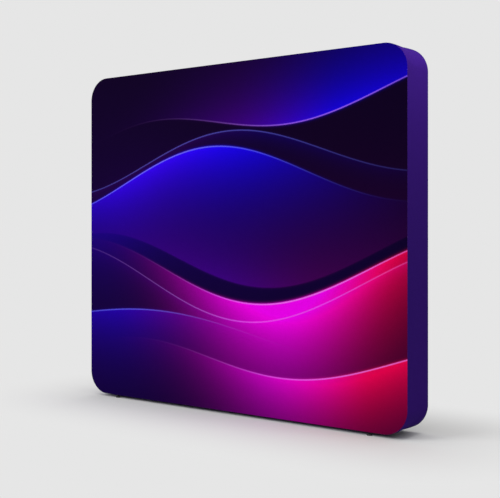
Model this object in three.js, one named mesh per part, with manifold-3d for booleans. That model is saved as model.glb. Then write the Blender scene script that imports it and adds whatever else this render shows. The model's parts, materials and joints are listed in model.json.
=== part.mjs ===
// Freestanding fabric light wall: a sewn stretch-cloth cover with a printed front, pulled over a
// plug-together frame of square aluminium tube that carries upright LED bars and their driver.
// X runs along the wall, Y from the printed front to the zipped back, Z up. Sizes in millimetres.

import * as THREE from 'three';
import { mergeVertices } from 'three/addons/utils/BufferGeometryUtils.js';
import Module from 'manifold-3d';

const wasm = await Module();
wasm.setup();

// Driving sizes: the outside of the sewn cover, and how high it stands off the floor
const WALL_WIDTH = 2500;
const WALL_HEIGHT = 2200;
const WALL_DEPTH = 250;
const CORNER_RADIUS = 150;
const FLOOR_GAP = 20;

// Clearances shared by all pieces
const SEAT_GAP = 0.3;
const CUT_OVERRUN = 1;
const WELD_BITE = 0.5;

// Cover cloth
const CLOTH_THICK = 1;

// Frame tube, its plug-in joints and the rungs welded between the front and the rear tubes
const TUBE_SIDE = 30;
const TUBE_WALL = 1.5;
const TUBE_EDGE = 2;
const RAIL_LENGTH = 1100;
const POST_LENGTH = 1100;
const SWAGE_LENGTH = 60;
const SWAGE_NECK = 4;
const RUNG_WIDTH = 20;
const RUNG_WALL = 2;
const RUNG_FROM_JOINT = 100;

// Spring buttons that lock the joints
const BUTTON_RADIUS = 4;
const BUTTON_HOLE_GAP = 0.3;
const BUTTON_PROUD = 2.5;
const BUTTON_CROWN = 1.2;
const BUTTON_LEAF_LENGTH = 36;
const BUTTON_LEAF_WIDTH = 12;
const BUTTON_LEAF_THICK = 1.2;

// Middle post behind the lamps
const POST_SIDE = 25;
const POST_PLATE_LENGTH = 70;
const POST_PLATE_THICK = 3;
const POST_BEHIND_GAP = 1;

// Levelling feet, their threaded inserts and the eyelets in the cloth
const FOOT_FROM_BEND = 100;
const FOOT_PAD_RADIUS = 16;
const FOOT_PAD_HEIGHT = 5;
const FOOT_PAD_CHAMFER = 1.5;
const FOOT_HEX_RADIUS = 9.5;
const FOOT_HEX_HEIGHT = 3.5;
const FOOT_STUD_RADIUS = 5;
const FOOT_STUD_LENGTH = 36;
const INSERT_GAP = 0.3;
const INSERT_WALL = 2.2;
const INSERT_HEIGHT = 13;
const EYELET_FLANGE = 0.8;
const EYELET_RADIUS = 12;
const EYELET_GAP = 1.2;
const EYELET_WALL = 1.2;

// LED bars: a channel of extruded aluminium with a board and lensed modules in it
const BAR_COUNT = 8;
const BAR_FROM_BEND = 50;
const BAR_WIDTH = 20;
const BAR_BASE = 5;
const BAR_LIP_HEIGHT = 3;
const BAR_LIP_WIDTH = 2;
const BAR_OVERLAP = 21;
const BAR_HOOK_WIDTH = 16;
const BAR_HOOK_REACH = 12;
const BAR_HOOK_THICK = 2;
const BOARD_SIDE_GAP = 0.5;
const BOARD_THICK = 1.6;
const LENS_COUNT = 11;
const LENS_HEIGHT = 5;
const LENS_FOOT_RADIUS = 6.5;
const LENS_TOP_RADIUS = 4;

// Driver on its tray, on two rungs of the bottom rail
const TRAY_WIDTH = 100;
const TRAY_SHEET = 1.5;
const TRAY_LIP = 14;
const TRAY_PAST_RUNG = 20;
const DRIVER_LENGTH = 240;
const DRIVER_WIDTH = 68;
const DRIVER_HEIGHT = 38;
const DRIVER_RIBS = 6;
const DRIVER_RIB_DEPTH = 3;
const GLAND_RADIUS = 8;
const GLAND_LENGTH = 12;

// Wiring
const CABLE_RADIUS = 3.5;
const CABLE_BEND = 40;
const LOOM_RADIUS = 3;
const LOOM_RISE = 22;
const PLUG_WIDTH = 14;
const PLUG_COVER = 1;
const PLUG_HEIGHT = 18;

// Mains inlet with its rocker switch, low on the back between the first two LED bars
const INLET_Z = 125;
const INLET_PLATE_WIDTH = 66;
const INLET_PLATE_HEIGHT = 40;
const INLET_PLATE_THICK = 2.5;
const INLET_PLATE_ROUND = 5;
const INLET_BODY_WIDTH = 56;
const INLET_BODY_HEIGHT = 30;
const INLET_BODY_DEPTH = 24;
const SOCKET_X = -13.5;
const SOCKET_WIDTH = 24.5;
const SOCKET_HEIGHT = 17;
const SOCKET_CHAMFER = 5;
const SOCKET_DEPTH = 17;
const BLADE_THICK = 2;
const BLADE_WIDTH = 4;
const BLADE_RECESS = 2;
const BLADE_SPREAD = 7;
const BLADE_RAISE = 2;
const SWITCH_X = 14.5;
const SWITCH_WIDTH = 15;
const SWITCH_HEIGHT = 22;
const SWITCH_DEPTH = 13;

// Rocker
const ROCKER_GAP = 0.7;
const ROCKER_TILT = THREE.MathUtils.degToRad(8);
const ROCKER_ABOVE_PIVOT = 3;
const ROCKER_PROUD = 0.4;
const ROCKER_BELOW_PIVOT = 3.5;
const ROCKER_TAPER = 1.6;
const ROCKER_PIN_RADIUS = 1.5;
const ROCKER_PIN_LENGTH = 1.5;
const ROCKER_PIN_GAP = 0.2;

// Inlet bracket of joggled sheet
const BRACKET_WIDTH = 92;
const BRACKET_SHEET = 2;
const BRACKET_JOG = 7.5;
const BRACKET_MARGIN = 12;

// Zip along the foot of the back
const ZIP_Z = 60;
const ZIP_FROM_BEND = 20;
const ZIP_SLOT_HEIGHT = 14;
const TAPE_THICK = 0.8;
const TAPE_WIDTH = 20;
const TEETH_WIDTH = 3;
const TEETH_THICK = 2.4;
const TEETH_SPLIT = 1.6;

// Zip slider with its bail, and the pull on it
const SLIDER_LENGTH = 16;
const SLIDER_NOSE_WIDTH = 13.4;
const SLIDER_TAIL_WIDTH = 11.4;
const SLIDER_TOP = 2;
const SLIDER_SOLE = 1.5;
const SLIDER_FLANGE = 1.2;
const SLIDER_WEB = 1;
const SLIDER_WEB_LENGTH = 5;
const BAIL_LENGTH = 10;
const BAIL_WIDTH = 4;
const BAIL_OPENING = 3;
const BAIL_THICK = 1.5;
const PULL_LENGTH = 36;
const PULL_WIDTH = 11;
const PULL_THICK = 1.6;
const PULL_SIDE = 2;
const PULL_PIN_RADIUS = 1;
const PULL_WINDOW = 9;
const PULL_HOLE_RADIUS = 2.6;

// Facets of round shapes
const ARC_STEPS = 8;
const ROUND_SIDES = 12;
const SMALL_SIDES = 8;
const LENS_SIDES = 6;
const HEX_SIDES = 6;
const CABLE_SIDES = 8;
const CABLE_STEPS = 28;
const LEAD_STEPS = 10;

// Places worked out from those sizes, measured from the middle of the cover
const HALF_WIDTH = WALL_WIDTH / 2;
const HALF_HEIGHT = WALL_HEIGHT / 2;
const HALF_DEPTH = WALL_DEPTH / 2;
const ARC_X = HALF_WIDTH - CORNER_RADIUS;
const ARC_Z = HALF_HEIGHT - CORNER_RADIUS;
const FOOT_X = ARC_X - FOOT_FROM_BEND;
const BAR_PITCH = (2 * (ARC_X - BAR_FROM_BEND)) / (BAR_COUNT - 1);
const INLET_X = barX(0) + BAR_PITCH / 2;
const ZIP_LENGTH = 2 * (ARC_X - ZIP_FROM_BEND);
const LINING = CLOTH_THICK + SEAT_GAP;
const TUBE_INSET = LINING + TUBE_SIDE / 2;
const TUBE_X = HALF_WIDTH - TUBE_INSET;
const TUBE_Y = HALF_DEPTH - TUBE_INSET;
const TUBE_Z = HALF_HEIGHT - TUBE_INSET;
const BEND_RADIUS = CORNER_RADIUS - TUBE_INSET;
const TUBE_BORE = TUBE_SIDE - 2 * TUBE_WALL;
const RUNG_HALF_SPAN = TUBE_Y - TUBE_SIDE / 2 + WELD_BITE;
const RUNG_X = RAIL_LENGTH / 3;
const TAPE_BACK_Y = HALF_DEPTH - LINING;
const TEETH_Y = TAPE_BACK_Y - TAPE_THICK / 2;
const SOLE_Y = TEETH_Y - TEETH_THICK / 2 - SEAT_GAP;
const SLIDER_TOP_Y = HALF_DEPTH + SEAT_GAP + SLIDER_TOP;
const PULL_PIN_Y = SLIDER_TOP_Y + BAIL_OPENING / 2;
const REAR_PROUD = SLIDER_TOP_Y + BAIL_OPENING + BAIL_THICK - HALF_DEPTH;
const ZIP_LOCAL_Z = ZIP_Z - HALF_HEIGHT;
const INLET_LOCAL_Z = INLET_Z - HALF_HEIGHT;

// A geometry as a solid that can be joined and cut
function toSolid(geometry) {
  const bare = geometry.index ? geometry.toNonIndexed() : geometry.clone();
  bare.deleteAttribute('normal');
  bare.deleteAttribute('uv');
  const merged = mergeVertices(bare);
  return new wasm.Manifold(
    new wasm.Mesh({
      numProp: 3,
      vertProperties: merged.attributes.position.array,
      triVerts: new Uint32Array(merged.index.array),
    }),
  );
}

function toGeometry(solid) {
  const mesh = solid.getMesh();
  const geometry = new THREE.BufferGeometry();
  geometry.setAttribute('position', new THREE.BufferAttribute(mesh.vertProperties, mesh.numProp));
  geometry.setIndex(new THREE.BufferAttribute(mesh.triVerts, 1));
  geometry.computeVertexNormals();
  return geometry;
}

function join(...geometries) {
  const solids = geometries.map(toSolid);
  return toGeometry(solids.reduce((whole, solid) => whole.add(solid)));
}

function cut(geometry, ...cutters) {
  const solids = cutters.map(toSolid);
  return toGeometry(solids.reduce((rest, solid) => rest.subtract(solid), toSolid(geometry)));
}

// A block between two limits on each axis
function block(x, y, z) {
  const geometry = new THREE.BoxGeometry(x[1] - x[0], y[1] - y[0], z[1] - z[0]);
  return geometry.translate((x[0] + x[1]) / 2, (y[0] + y[1]) / 2, (z[0] + z[1]) / 2);
}

// A closed outline in the X-Z plane, extruded from its front face at y towards the back
function slab(outline, y, depth, holes = []) {
  const shape = new THREE.Shape(outline);
  shape.holes = holes.map((hole) => new THREE.Path(hole));
  const geometry = new THREE.ExtrudeGeometry(shape, { depth, bevelEnabled: false });
  return geometry.rotateX(Math.PI / 2).translate(0, y + depth, 0);
}

function arcPoints(x, z, radius, from, to, steps = ARC_STEPS) {
  return Array.from({ length: steps + 1 }, (_, i) => {
    const angle = from + ((to - from) * i) / steps;
    return new THREE.Vector2(x + radius * Math.cos(angle), z + radius * Math.sin(angle));
  });
}

function roundedOutline(halfWidth, halfHeight, radius, x = 0, z = 0, steps = ARC_STEPS) {
  const quarter = Math.PI / 2;
  const corners = [[1, 1], [-1, 1], [-1, -1], [1, -1]];
  return corners.flatMap(([sx, sz], i) =>
    arcPoints(
      x + sx * (halfWidth - radius), z + sz * (halfHeight - radius),
      radius, i * quarter, (i + 1) * quarter, steps));
}

// Rings of points joined in order, the last to the first: the wall of a hollow tube
function skin(rings) {
  const count = rings[0].length;
  const positions = [];
  rings.forEach((ring, k) => {
    const next = rings[(k + 1) % rings.length];
    for (let i = 0; i < count; i++) {
      const j = (i + 1) % count;
      for (const point of [ring[i], next[i], ring[j], ring[j], next[i], next[j]]) {
        positions.push(point.x, point.y, point.z);
      }
    }
  });
  const geometry = new THREE.BufferGeometry();
  return geometry.setAttribute('position', new THREE.Float32BufferAttribute(positions, 3));
}

// A square section with eased edges, one chamfer facet at each corner
function squareSection(side, edge) {
  return roundedOutline(side / 2, side / 2, edge, 0, 0, 1);
}

// The section placed at (x, z) in the plane of its loop, its outer side facing the angle
function sectionRing(section, x, y, z, angle) {
  return section.map((p) =>
    new THREE.Vector3(x + p.x * Math.cos(angle), y + p.y, z + p.x * Math.sin(angle)));
}

// Square tube along X with a swaged end where asked. An end that has one is the shoulder that the
// next tube butts against, and the swage runs on past it.
function straightTube(side, from, to, swageStart, swageEnd) {
  const bore = side - 2 * TUBE_WALL;
  const plugSide = bore - 2 * SEAT_GAP;
  const plugBore = plugSide - 2 * TUBE_WALL;
  const outside = [[from, side], [to, side]];
  const inside = [[to, bore], [from, bore]];
  if (swageEnd) {
    outside.push([to, plugSide], [to + SWAGE_LENGTH, plugSide]);
    const neck = to - SWAGE_NECK;
    inside.splice(0, 1, [to + SWAGE_LENGTH, plugBore], [neck, plugBore], [neck, bore]);
  }
  if (swageStart) {
    outside.unshift([from - SWAGE_LENGTH, plugSide], [from, plugSide]);
    const neck = from + SWAGE_NECK;
    inside.splice(-1, 1, [neck, bore], [neck, plugBore], [from - SWAGE_LENGTH, plugBore]);
  }
  const ring = ([x, width]) => {
    const edge = width < side ? TUBE_EDGE / 2 : TUBE_EDGE;
    return squareSection(width, edge).map((p) => new THREE.Vector3(x, p.y, p.x));
  };
  return skin([...outside, ...inside].map(ring));
}

// Tube of a frame corner: a level arm, the bend and an upright arm
function bentTube(y) {
  const ringsOf = (section) => [
    sectionRing(section, RAIL_LENGTH / 2 + SEAT_GAP, y, TUBE_Z, Math.PI / 2),
    ...arcPoints(ARC_X, ARC_Z, BEND_RADIUS, Math.PI / 2, 0).map((p, i) =>
      sectionRing(section, p.x, y, p.y, (Math.PI / 2) * (1 - i / ARC_STEPS))),
    sectionRing(section, TUBE_X, y, POST_LENGTH / 2 + SEAT_GAP, 0),
  ];
  const outside = ringsOf(squareSection(TUBE_SIDE, TUBE_EDGE));
  const inside = ringsOf(squareSection(TUBE_BORE, TUBE_EDGE / 2)).reverse();
  return skin([...outside, ...inside]);
}

// U-channel rung from the front tube to the rear one, its web on the inner side of the loop
function rung(x, z, angle) {
  const half = RUNG_WIDTH / 2;
  const channel = [
    [-half, -half], [half, -half], [half, RUNG_WALL - half], [RUNG_WALL - half, RUNG_WALL - half],
    [RUNG_WALL - half, half - RUNG_WALL], [half, half - RUNG_WALL], [half, half], [-half, half],
  ].map(([u, w]) => new THREE.Vector2(u, w));
  return slab(channel, -RUNG_HALF_SPAN, 2 * RUNG_HALF_SPAN).rotateY(-angle).translate(x, 0, z);
}

// A round bar from one level to another along Z, with turned copies for the other axes
function rod(radius, from, to, sides = ROUND_SIDES) {
  return new THREE.CylinderGeometry(radius, radius, to - from, sides)
    .rotateX(Math.PI / 2)
    .translate(0, 0, (from + to) / 2);
}

// Hole for a spring button through the inner walls of a joint, which faces -Z
function buttonHole(side) {
  const throughWalls = 2 * TUBE_WALL + SEAT_GAP;
  return rod(
    BUTTON_RADIUS + BUTTON_HOLE_GAP,
    -side / 2 - CUT_OVERRUN, -side / 2 + throughWalls + CUT_OVERRUN, SMALL_SIDES);
}

// The places of the two buttons of one joint in the top right quarter: level rail, then upright
const JOINT_X = RAIL_LENGTH / 2 + SWAGE_LENGTH / 2;
const JOINT_Z = POST_LENGTH / 2 + SWAGE_LENGTH / 2;
const atRailJoint = (geometry, y) => geometry.translate(JOINT_X, y, TUBE_Z);
const atPostJoint = (geometry, y) => geometry.rotateY(Math.PI / 2).translate(TUBE_X, y, JOINT_Z);

function cornerFrame(hasFeet) {
  const bendMiddle = arcPoints(ARC_X, ARC_Z, BEND_RADIUS, Math.PI / 2, 0)[ARC_STEPS / 2];
  const pieces = [
    bentTube(-TUBE_Y),
    bentTube(TUBE_Y),
    rung(RAIL_LENGTH / 2 + RUNG_FROM_JOINT, TUBE_Z, Math.PI / 2),
    rung(bendMiddle.x, bendMiddle.y, Math.PI / 4),
    rung(TUBE_X, POST_LENGTH / 2 + RUNG_FROM_JOINT, 0),
  ];
  const cuts = [];
  for (const y of [-TUBE_Y, TUBE_Y]) {
    cuts.push(atRailJoint(buttonHole(TUBE_SIDE), y), atPostJoint(buttonHole(TUBE_SIDE), y));
    if (!hasFeet) continue;
    // The insert rises from the outer wall, which faces +Z in this quarter before it is mirrored down
    const outerFace = TUBE_Z + TUBE_SIDE / 2;
    const boreRadius = FOOT_STUD_RADIUS + INSERT_GAP;
    pieces.push(rod(boreRadius + INSERT_WALL, outerFace - INSERT_HEIGHT, outerFace - WELD_BITE)
      .translate(FOOT_X, y, 0));
    cuts.push(rod(boreRadius, outerFace - INSERT_HEIGHT - CUT_OVERRUN, outerFace + CUT_OVERRUN)
      .translate(FOOT_X, y, 0));
  }
  return cut(join(...pieces), ...cuts);
}

// Level ladder between two corners, made for the top: its rungs hang between two tubes
function railLadder() {
  const tube = () => straightTube(TUBE_SIDE, -RAIL_LENGTH / 2, RAIL_LENGTH / 2, true, true);
  const hole = (y) => atRailJoint(buttonHole(TUBE_SIDE), y);
  const cuts = [-TUBE_Y, TUBE_Y].flatMap((y) => [hole(y), hole(y).translate(-2 * JOINT_X, 0, 0)]);
  return cut(
    join(
      tube().translate(0, -TUBE_Y, TUBE_Z),
      tube().translate(0, TUBE_Y, TUBE_Z),
      ...[-RUNG_X, 0, RUNG_X].map((x) => rung(x, TUBE_Z, Math.PI / 2))),
    ...cuts);
}

// Upright ladder between two corners, made for the right-hand end
function postLadder() {
  const tube = () =>
    straightTube(TUBE_SIDE, -POST_LENGTH / 2, POST_LENGTH / 2, true, true).rotateY(Math.PI / 2);
  const hole = (y) => atPostJoint(buttonHole(TUBE_SIDE), y);
  const cuts = [-TUBE_Y, TUBE_Y].flatMap((y) => [hole(y), hole(y).translate(0, 0, -2 * JOINT_Z)]);
  const rungZ = POST_LENGTH / 3;
  return cut(
    join(
      tube().translate(TUBE_X, -TUBE_Y, 0),
      tube().translate(TUBE_X, TUBE_Y, 0),
      ...[-rungZ, 0, rungZ].map((z) => rung(TUBE_X, z, 0))),
    ...cuts);
}

// Spring button for a tube of this side, its head pointing down -Z through the inner walls
function springButton(side) {
  const plugInnerFace = side / 2 - 2 * TUBE_WALL - SEAT_GAP;
  const leafBase = plugInnerFace - SEAT_GAP;
  const tip = side / 2 + BUTTON_PROUD;
  const head = new THREE.LatheGeometry([
    new THREE.Vector2(0, leafBase - BUTTON_LEAF_THICK / 2),
    new THREE.Vector2(BUTTON_RADIUS, leafBase - BUTTON_LEAF_THICK / 2),
    new THREE.Vector2(BUTTON_RADIUS, tip - BUTTON_CROWN),
    new THREE.Vector2(BUTTON_RADIUS - BUTTON_CROWN, tip),
    new THREE.Vector2(0, tip),
  ], SMALL_SIDES).rotateX(-Math.PI / 2);
  const leaf = block(
    [-BUTTON_LEAF_LENGTH / 2, BUTTON_LEAF_LENGTH / 2],
    [-BUTTON_LEAF_WIDTH / 2, BUTTON_LEAF_WIDTH / 2],
    [-leafBase, -leafBase + BUTTON_LEAF_THICK]);
  return join(head, leaf);
}

// The middle post stands in two halves on the rear tubes, ahead of the zip slider's path
const POST_Y = SOLE_Y - SLIDER_SOLE - POST_BEHIND_GAP - POST_SIDE / 2;
const POST_END_Z = TUBE_Z - TUBE_SIDE / 2 - SEAT_GAP;

function postHalf(isLower) {
  const plate = block(
    [-POST_PLATE_LENGTH / 2, POST_PLATE_LENGTH / 2],
    [-POST_SIDE / 2, POST_SIDE / 2],
    [POST_END_Z - POST_PLATE_THICK, POST_END_Z]);
  const from = isLower ? 0 : SEAT_GAP;
  const tube = straightTube(POST_SIDE, from, POST_END_Z - POST_PLATE_THICK + WELD_BITE, isLower, false);
  // Along X to along Z: the start of the tube lies at the middle of the wall
  const standing = join(tube.rotateY(-Math.PI / 2), plate);
  const hole = postButtonPlace(buttonHole(POST_SIDE));
  return isLower
    ? cut(standing.rotateX(Math.PI), hole).translate(0, POST_Y, 0)
    : cut(standing, hole).translate(0, POST_Y, 0);
}

// The post's one button faces +X, half way up the swage that the lower half carries
function postButtonPlace(geometry) {
  return geometry.rotateY(-Math.PI / 2).translate(0, 0, SWAGE_LENGTH / 2);
}

// Half of the side band: one strip of cloth round one end, seamed at the middle of top and bottom
function sideBand() {
  const face = (radius, z) => [
    new THREE.Vector2(SEAT_GAP / 2, z),
    ...arcPoints(ARC_X, ARC_Z, radius, Math.PI / 2, 0),
    ...arcPoints(ARC_X, -ARC_Z, radius, 0, -Math.PI / 2),
    new THREE.Vector2(SEAT_GAP / 2, -z),
  ];
  const outline = [
    ...face(CORNER_RADIUS, HALF_HEIGHT),
    ...face(CORNER_RADIUS - CLOTH_THICK, HALF_HEIGHT - CLOTH_THICK).reverse(),
  ];
  const y = -HALF_DEPTH + LINING;
  const eyeletHole = FOOT_STUD_RADIUS + EYELET_GAP + EYELET_WALL + SEAT_GAP;
  const holes = [-TUBE_Y, TUBE_Y].map((side) =>
    rod(eyeletHole, -HALF_HEIGHT - CUT_OVERRUN, -HALF_HEIGHT + CLOTH_THICK + CUT_OVERRUN)
      .translate(FOOT_X, side, 0));
  return cut(slab(outline, y, WALL_DEPTH - 2 * LINING), ...holes);
}

function frontPanel() {
  return slab(roundedOutline(HALF_WIDTH, HALF_HEIGHT, CORNER_RADIUS), -HALF_DEPTH, CLOTH_THICK);
}

// A rectangle as a closed list of corners
function rectangle(x, z, halfWidth, halfHeight) {
  return [[-1, -1], [1, -1], [1, 1], [-1, 1]].map(([sx, sz]) =>
    new THREE.Vector2(x + sx * halfWidth, z + sz * halfHeight));
}

function backPanel() {
  const zipSlot = rectangle(0, ZIP_LOCAL_Z, ZIP_LENGTH / 2, ZIP_SLOT_HEIGHT / 2);
  const inletHole = rectangle(
    INLET_X, INLET_LOCAL_Z, INLET_BODY_WIDTH / 2 + SEAT_GAP, INLET_BODY_HEIGHT / 2 + SEAT_GAP);
  return slab(
    roundedOutline(HALF_WIDTH, HALF_HEIGHT, CORNER_RADIUS),
    HALF_DEPTH - CLOTH_THICK, CLOTH_THICK, [zipSlot, inletHole]);
}

// One half of the zip: a woven tape with its row of teeth, made for the upper side
function zipStringer() {
  const x = [-ZIP_LENGTH / 2, ZIP_LENGTH / 2];
  const teethEdge = TEETH_SPLIT / 2;
  const tape = block(x, [TAPE_BACK_Y - TAPE_THICK, TAPE_BACK_Y], [teethEdge, teethEdge + TAPE_WIDTH]);
  const teeth = block(
    x, [TEETH_Y - TEETH_THICK / 2, TEETH_Y + TEETH_THICK / 2], [teethEdge, teethEdge + TEETH_WIDTH]);
  return join(tape, teeth);
}

// Slider: top and sole plates that taper to the tail, flanges round the teeth, a thin web between
// the two rows, and the bail. Its nose is at +X, and it is made round x = 0, z = 0.
function zipSlider() {
  const half = SLIDER_LENGTH / 2;
  const outline = (inset) => [
    [-half, -SLIDER_TAIL_WIDTH / 2 + inset], [half, -SLIDER_NOSE_WIDTH / 2 + inset],
    [half, SLIDER_NOSE_WIDTH / 2 - inset], [-half, SLIDER_TAIL_WIDTH / 2 - inset],
  ].map(([x, z]) => new THREE.Vector2(x, z));
  const teethHalf = TEETH_SPLIT / 2 + TEETH_WIDTH + SEAT_GAP;
  const topY = SLIDER_TOP_Y - SLIDER_TOP;
  const flanges = (y0, y1) => [-1, 1].map((side) =>
    block([-half, half], [y0, y1],
      side > 0 ? [teethHalf, teethHalf + SLIDER_FLANGE] : [-teethHalf - SLIDER_FLANGE, -teethHalf]));
  return join(
    slab(outline(0), topY, SLIDER_TOP),
    slab(outline(0), SOLE_Y - SLIDER_SOLE, SLIDER_SOLE),
    ...flanges(TAPE_BACK_Y + SEAT_GAP, topY + WELD_BITE),
    ...flanges(SOLE_Y - WELD_BITE, TAPE_BACK_Y - TAPE_THICK - SEAT_GAP),
    block(
      [half - SLIDER_WEB_LENGTH, half], [SOLE_Y - WELD_BITE, topY + WELD_BITE],
      [-SLIDER_WEB / 2, SLIDER_WEB / 2]),
    bail(),
  );
}

// Arch on the slider's top, open across for the pull's pin
function bail() {
  const half = BAIL_LENGTH / 2;
  const rise = BAIL_OPENING + BAIL_THICK;
  const foot = -WELD_BITE;
  const profile = [
    [-half, foot], [-half, rise - BAIL_THICK], [BAIL_THICK - half, rise], [half - BAIL_THICK, rise],
    [half, rise - BAIL_THICK], [half, foot], [half - BAIL_THICK, foot], [half - BAIL_THICK, BAIL_OPENING],
    [BAIL_THICK - half, BAIL_OPENING], [BAIL_THICK - half, foot],
  ].map(([x, y]) => new THREE.Vector2(x, y));
  const arch = new THREE.Shape(profile.reverse());
  return new THREE.ExtrudeGeometry(arch, { depth: BAIL_WIDTH, bevelEnabled: false })
    .translate(0, SLIDER_TOP_Y, -BAIL_WIDTH / 2);
}

// Pull: a flat tab whose window goes round the bail, on a pin under it. It lies flat towards -X.
function zipPull() {
  const halfWidth = PULL_WIDTH / 2;
  const innerHalf = halfWidth - PULL_SIDE;
  const tab = slab(
    [...arcPoints(-PULL_LENGTH + halfWidth, 0, halfWidth, Math.PI / 2, (3 * Math.PI) / 2),
      new THREE.Vector2(PULL_PIN_RADIUS, -halfWidth), new THREE.Vector2(PULL_PIN_RADIUS, halfWidth)],
    -PULL_THICK / 2, PULL_THICK);
  const hangHole = rod(PULL_HOLE_RADIUS, -PULL_THICK, PULL_THICK, SMALL_SIDES)
    .rotateX(Math.PI / 2)
    .translate(-PULL_LENGTH + halfWidth, 0, 0);
  const window = block(
    [-PULL_PIN_RADIUS - PULL_WINDOW, PULL_PIN_RADIUS + CUT_OVERRUN],
    [-PULL_THICK, PULL_THICK], [-innerHalf, innerHalf]);
  const pin = rod(PULL_PIN_RADIUS, -halfWidth, halfWidth, SMALL_SIDES);
  return join(cut(tab, hangHole, window), pin);
}

// Levelling foot made round its own axis, its sole at z = 0
function levellingFoot() {
  const stem = new THREE.LatheGeometry([
    new THREE.Vector2(0, 0),
    new THREE.Vector2(FOOT_PAD_RADIUS, 0),
    new THREE.Vector2(FOOT_PAD_RADIUS, FOOT_PAD_HEIGHT - FOOT_PAD_CHAMFER),
    new THREE.Vector2(FOOT_PAD_RADIUS - FOOT_PAD_CHAMFER, FOOT_PAD_HEIGHT),
    new THREE.Vector2(FOOT_STUD_RADIUS, FOOT_PAD_HEIGHT),
    new THREE.Vector2(FOOT_STUD_RADIUS, FOOT_PAD_HEIGHT + FOOT_STUD_LENGTH),
    new THREE.Vector2(0, FOOT_PAD_HEIGHT + FOOT_STUD_LENGTH),
  ], ROUND_SIDES).rotateX(Math.PI / 2);
  const hex = rod(
    FOOT_HEX_RADIUS, FOOT_PAD_HEIGHT - WELD_BITE, FOOT_PAD_HEIGHT + FOOT_HEX_HEIGHT, HEX_SIDES);
  return join(stem, hex);
}

// Eyelet: a flange under the cloth and a barrel through it, its upper side at z = 0
function eyelet() {
  const bore = FOOT_STUD_RADIUS + EYELET_GAP;
  const barrelTop = CLOTH_THICK;
  return new THREE.LatheGeometry([
    new THREE.Vector2(bore, -EYELET_FLANGE),
    new THREE.Vector2(EYELET_RADIUS, -EYELET_FLANGE),
    new THREE.Vector2(EYELET_RADIUS, 0),
    new THREE.Vector2(bore + EYELET_WALL, 0),
    new THREE.Vector2(bore + EYELET_WALL, barrelTop),
    new THREE.Vector2(bore, barrelTop),
    new THREE.Vector2(bore, -EYELET_FLANGE),
  ], ROUND_SIDES).rotateX(Math.PI / 2);
}

// LED bar made round x = 0: its back lies on the rear tubes, a hook at each end reaches over the
// tube's inner side, and its lenses face the front
const BAR_BACK_Y = TUBE_Y - TUBE_SIDE / 2 - SEAT_GAP;
const BAR_HALF = TUBE_Z - TUBE_SIDE / 2 + BAR_OVERLAP;
const BOARD_FACE = BAR_BASE + BOARD_THICK;

function ledBar() {
  const half = BAR_WIDTH / 2;
  const groove = half - BAR_LIP_WIDTH;
  const board = groove - BOARD_SIDE_GAP;
  const rightHalf = [
    [half, 0], [half, BAR_BASE + BAR_LIP_HEIGHT], [groove, BAR_BASE + BAR_LIP_HEIGHT],
    [groove, BAR_BASE], [board, BAR_BASE], [board, BOARD_FACE],
  ];
  const leftHalf = rightHalf.map(([x, rise]) => [-x, rise]).reverse();
  const profile = [...rightHalf, ...leftHalf].map(([x, rise]) => new THREE.Vector2(x, -rise));
  const section = new THREE.Shape(profile.reverse());
  const channel = new THREE.ExtrudeGeometry(section, { depth: 2 * BAR_HALF, bevelEnabled: false })
    .translate(0, BAR_BACK_Y, -BAR_HALF);
  const pitch = (2 * (BAR_HALF - BAR_OVERLAP)) / LENS_COUNT;
  const lensY = BAR_BACK_Y - BOARD_FACE - (LENS_HEIGHT - WELD_BITE) / 2;
  const lenses = Array.from({ length: LENS_COUNT }, (_, i) =>
    new THREE.CylinderGeometry(LENS_FOOT_RADIUS, LENS_TOP_RADIUS, LENS_HEIGHT + WELD_BITE, LENS_SIDES)
      .translate(0, lensY, (i + 0.5 - LENS_COUNT / 2) * pitch));
  const seat = TUBE_Z - TUBE_SIDE / 2 - SEAT_GAP;
  const hooks = [[-seat, -seat + BAR_HOOK_THICK], [seat - BAR_HOOK_THICK, seat]].map((z) => block(
    [-BAR_HOOK_WIDTH / 2, BAR_HOOK_WIDTH / 2], [BAR_BACK_Y - WELD_BITE, BAR_BACK_Y + BAR_HOOK_REACH], z));
  return join(channel, ...lenses, ...hooks);
}

// Tray for the driver: a folded sheet across two rungs of the bottom rail
const RUNG_TOP_Z = -TUBE_Z + RUNG_WIDTH / 2 + SEAT_GAP;
const TRAY_TOP_Z = RUNG_TOP_Z + TRAY_SHEET;
const DRIVER_X = -RUNG_X / 2;

function driverTray() {
  const half = TRAY_WIDTH / 2;
  const inner = half - TRAY_SHEET;
  const profile = [
    [-half, 0], [half, 0], [half, TRAY_LIP], [inner, TRAY_LIP], [inner, TRAY_SHEET],
    [-inner, TRAY_SHEET], [-inner, TRAY_LIP], [-half, TRAY_LIP],
  ].map(([y, z]) => new THREE.Vector2(y, z));
  const length = RUNG_X + 2 * TRAY_PAST_RUNG;
  return alongX(profile, length).translate(-RUNG_X - TRAY_PAST_RUNG, 0, RUNG_TOP_Z);
}

// A closed outline in the Y-Z plane, extruded along X from x = 0
function alongX(outline, length) {
  return new THREE.ExtrudeGeometry(new THREE.Shape(outline), { depth: length, bevelEnabled: false })
    .rotateX(Math.PI / 2)
    .rotateZ(Math.PI / 2);
}

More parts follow.
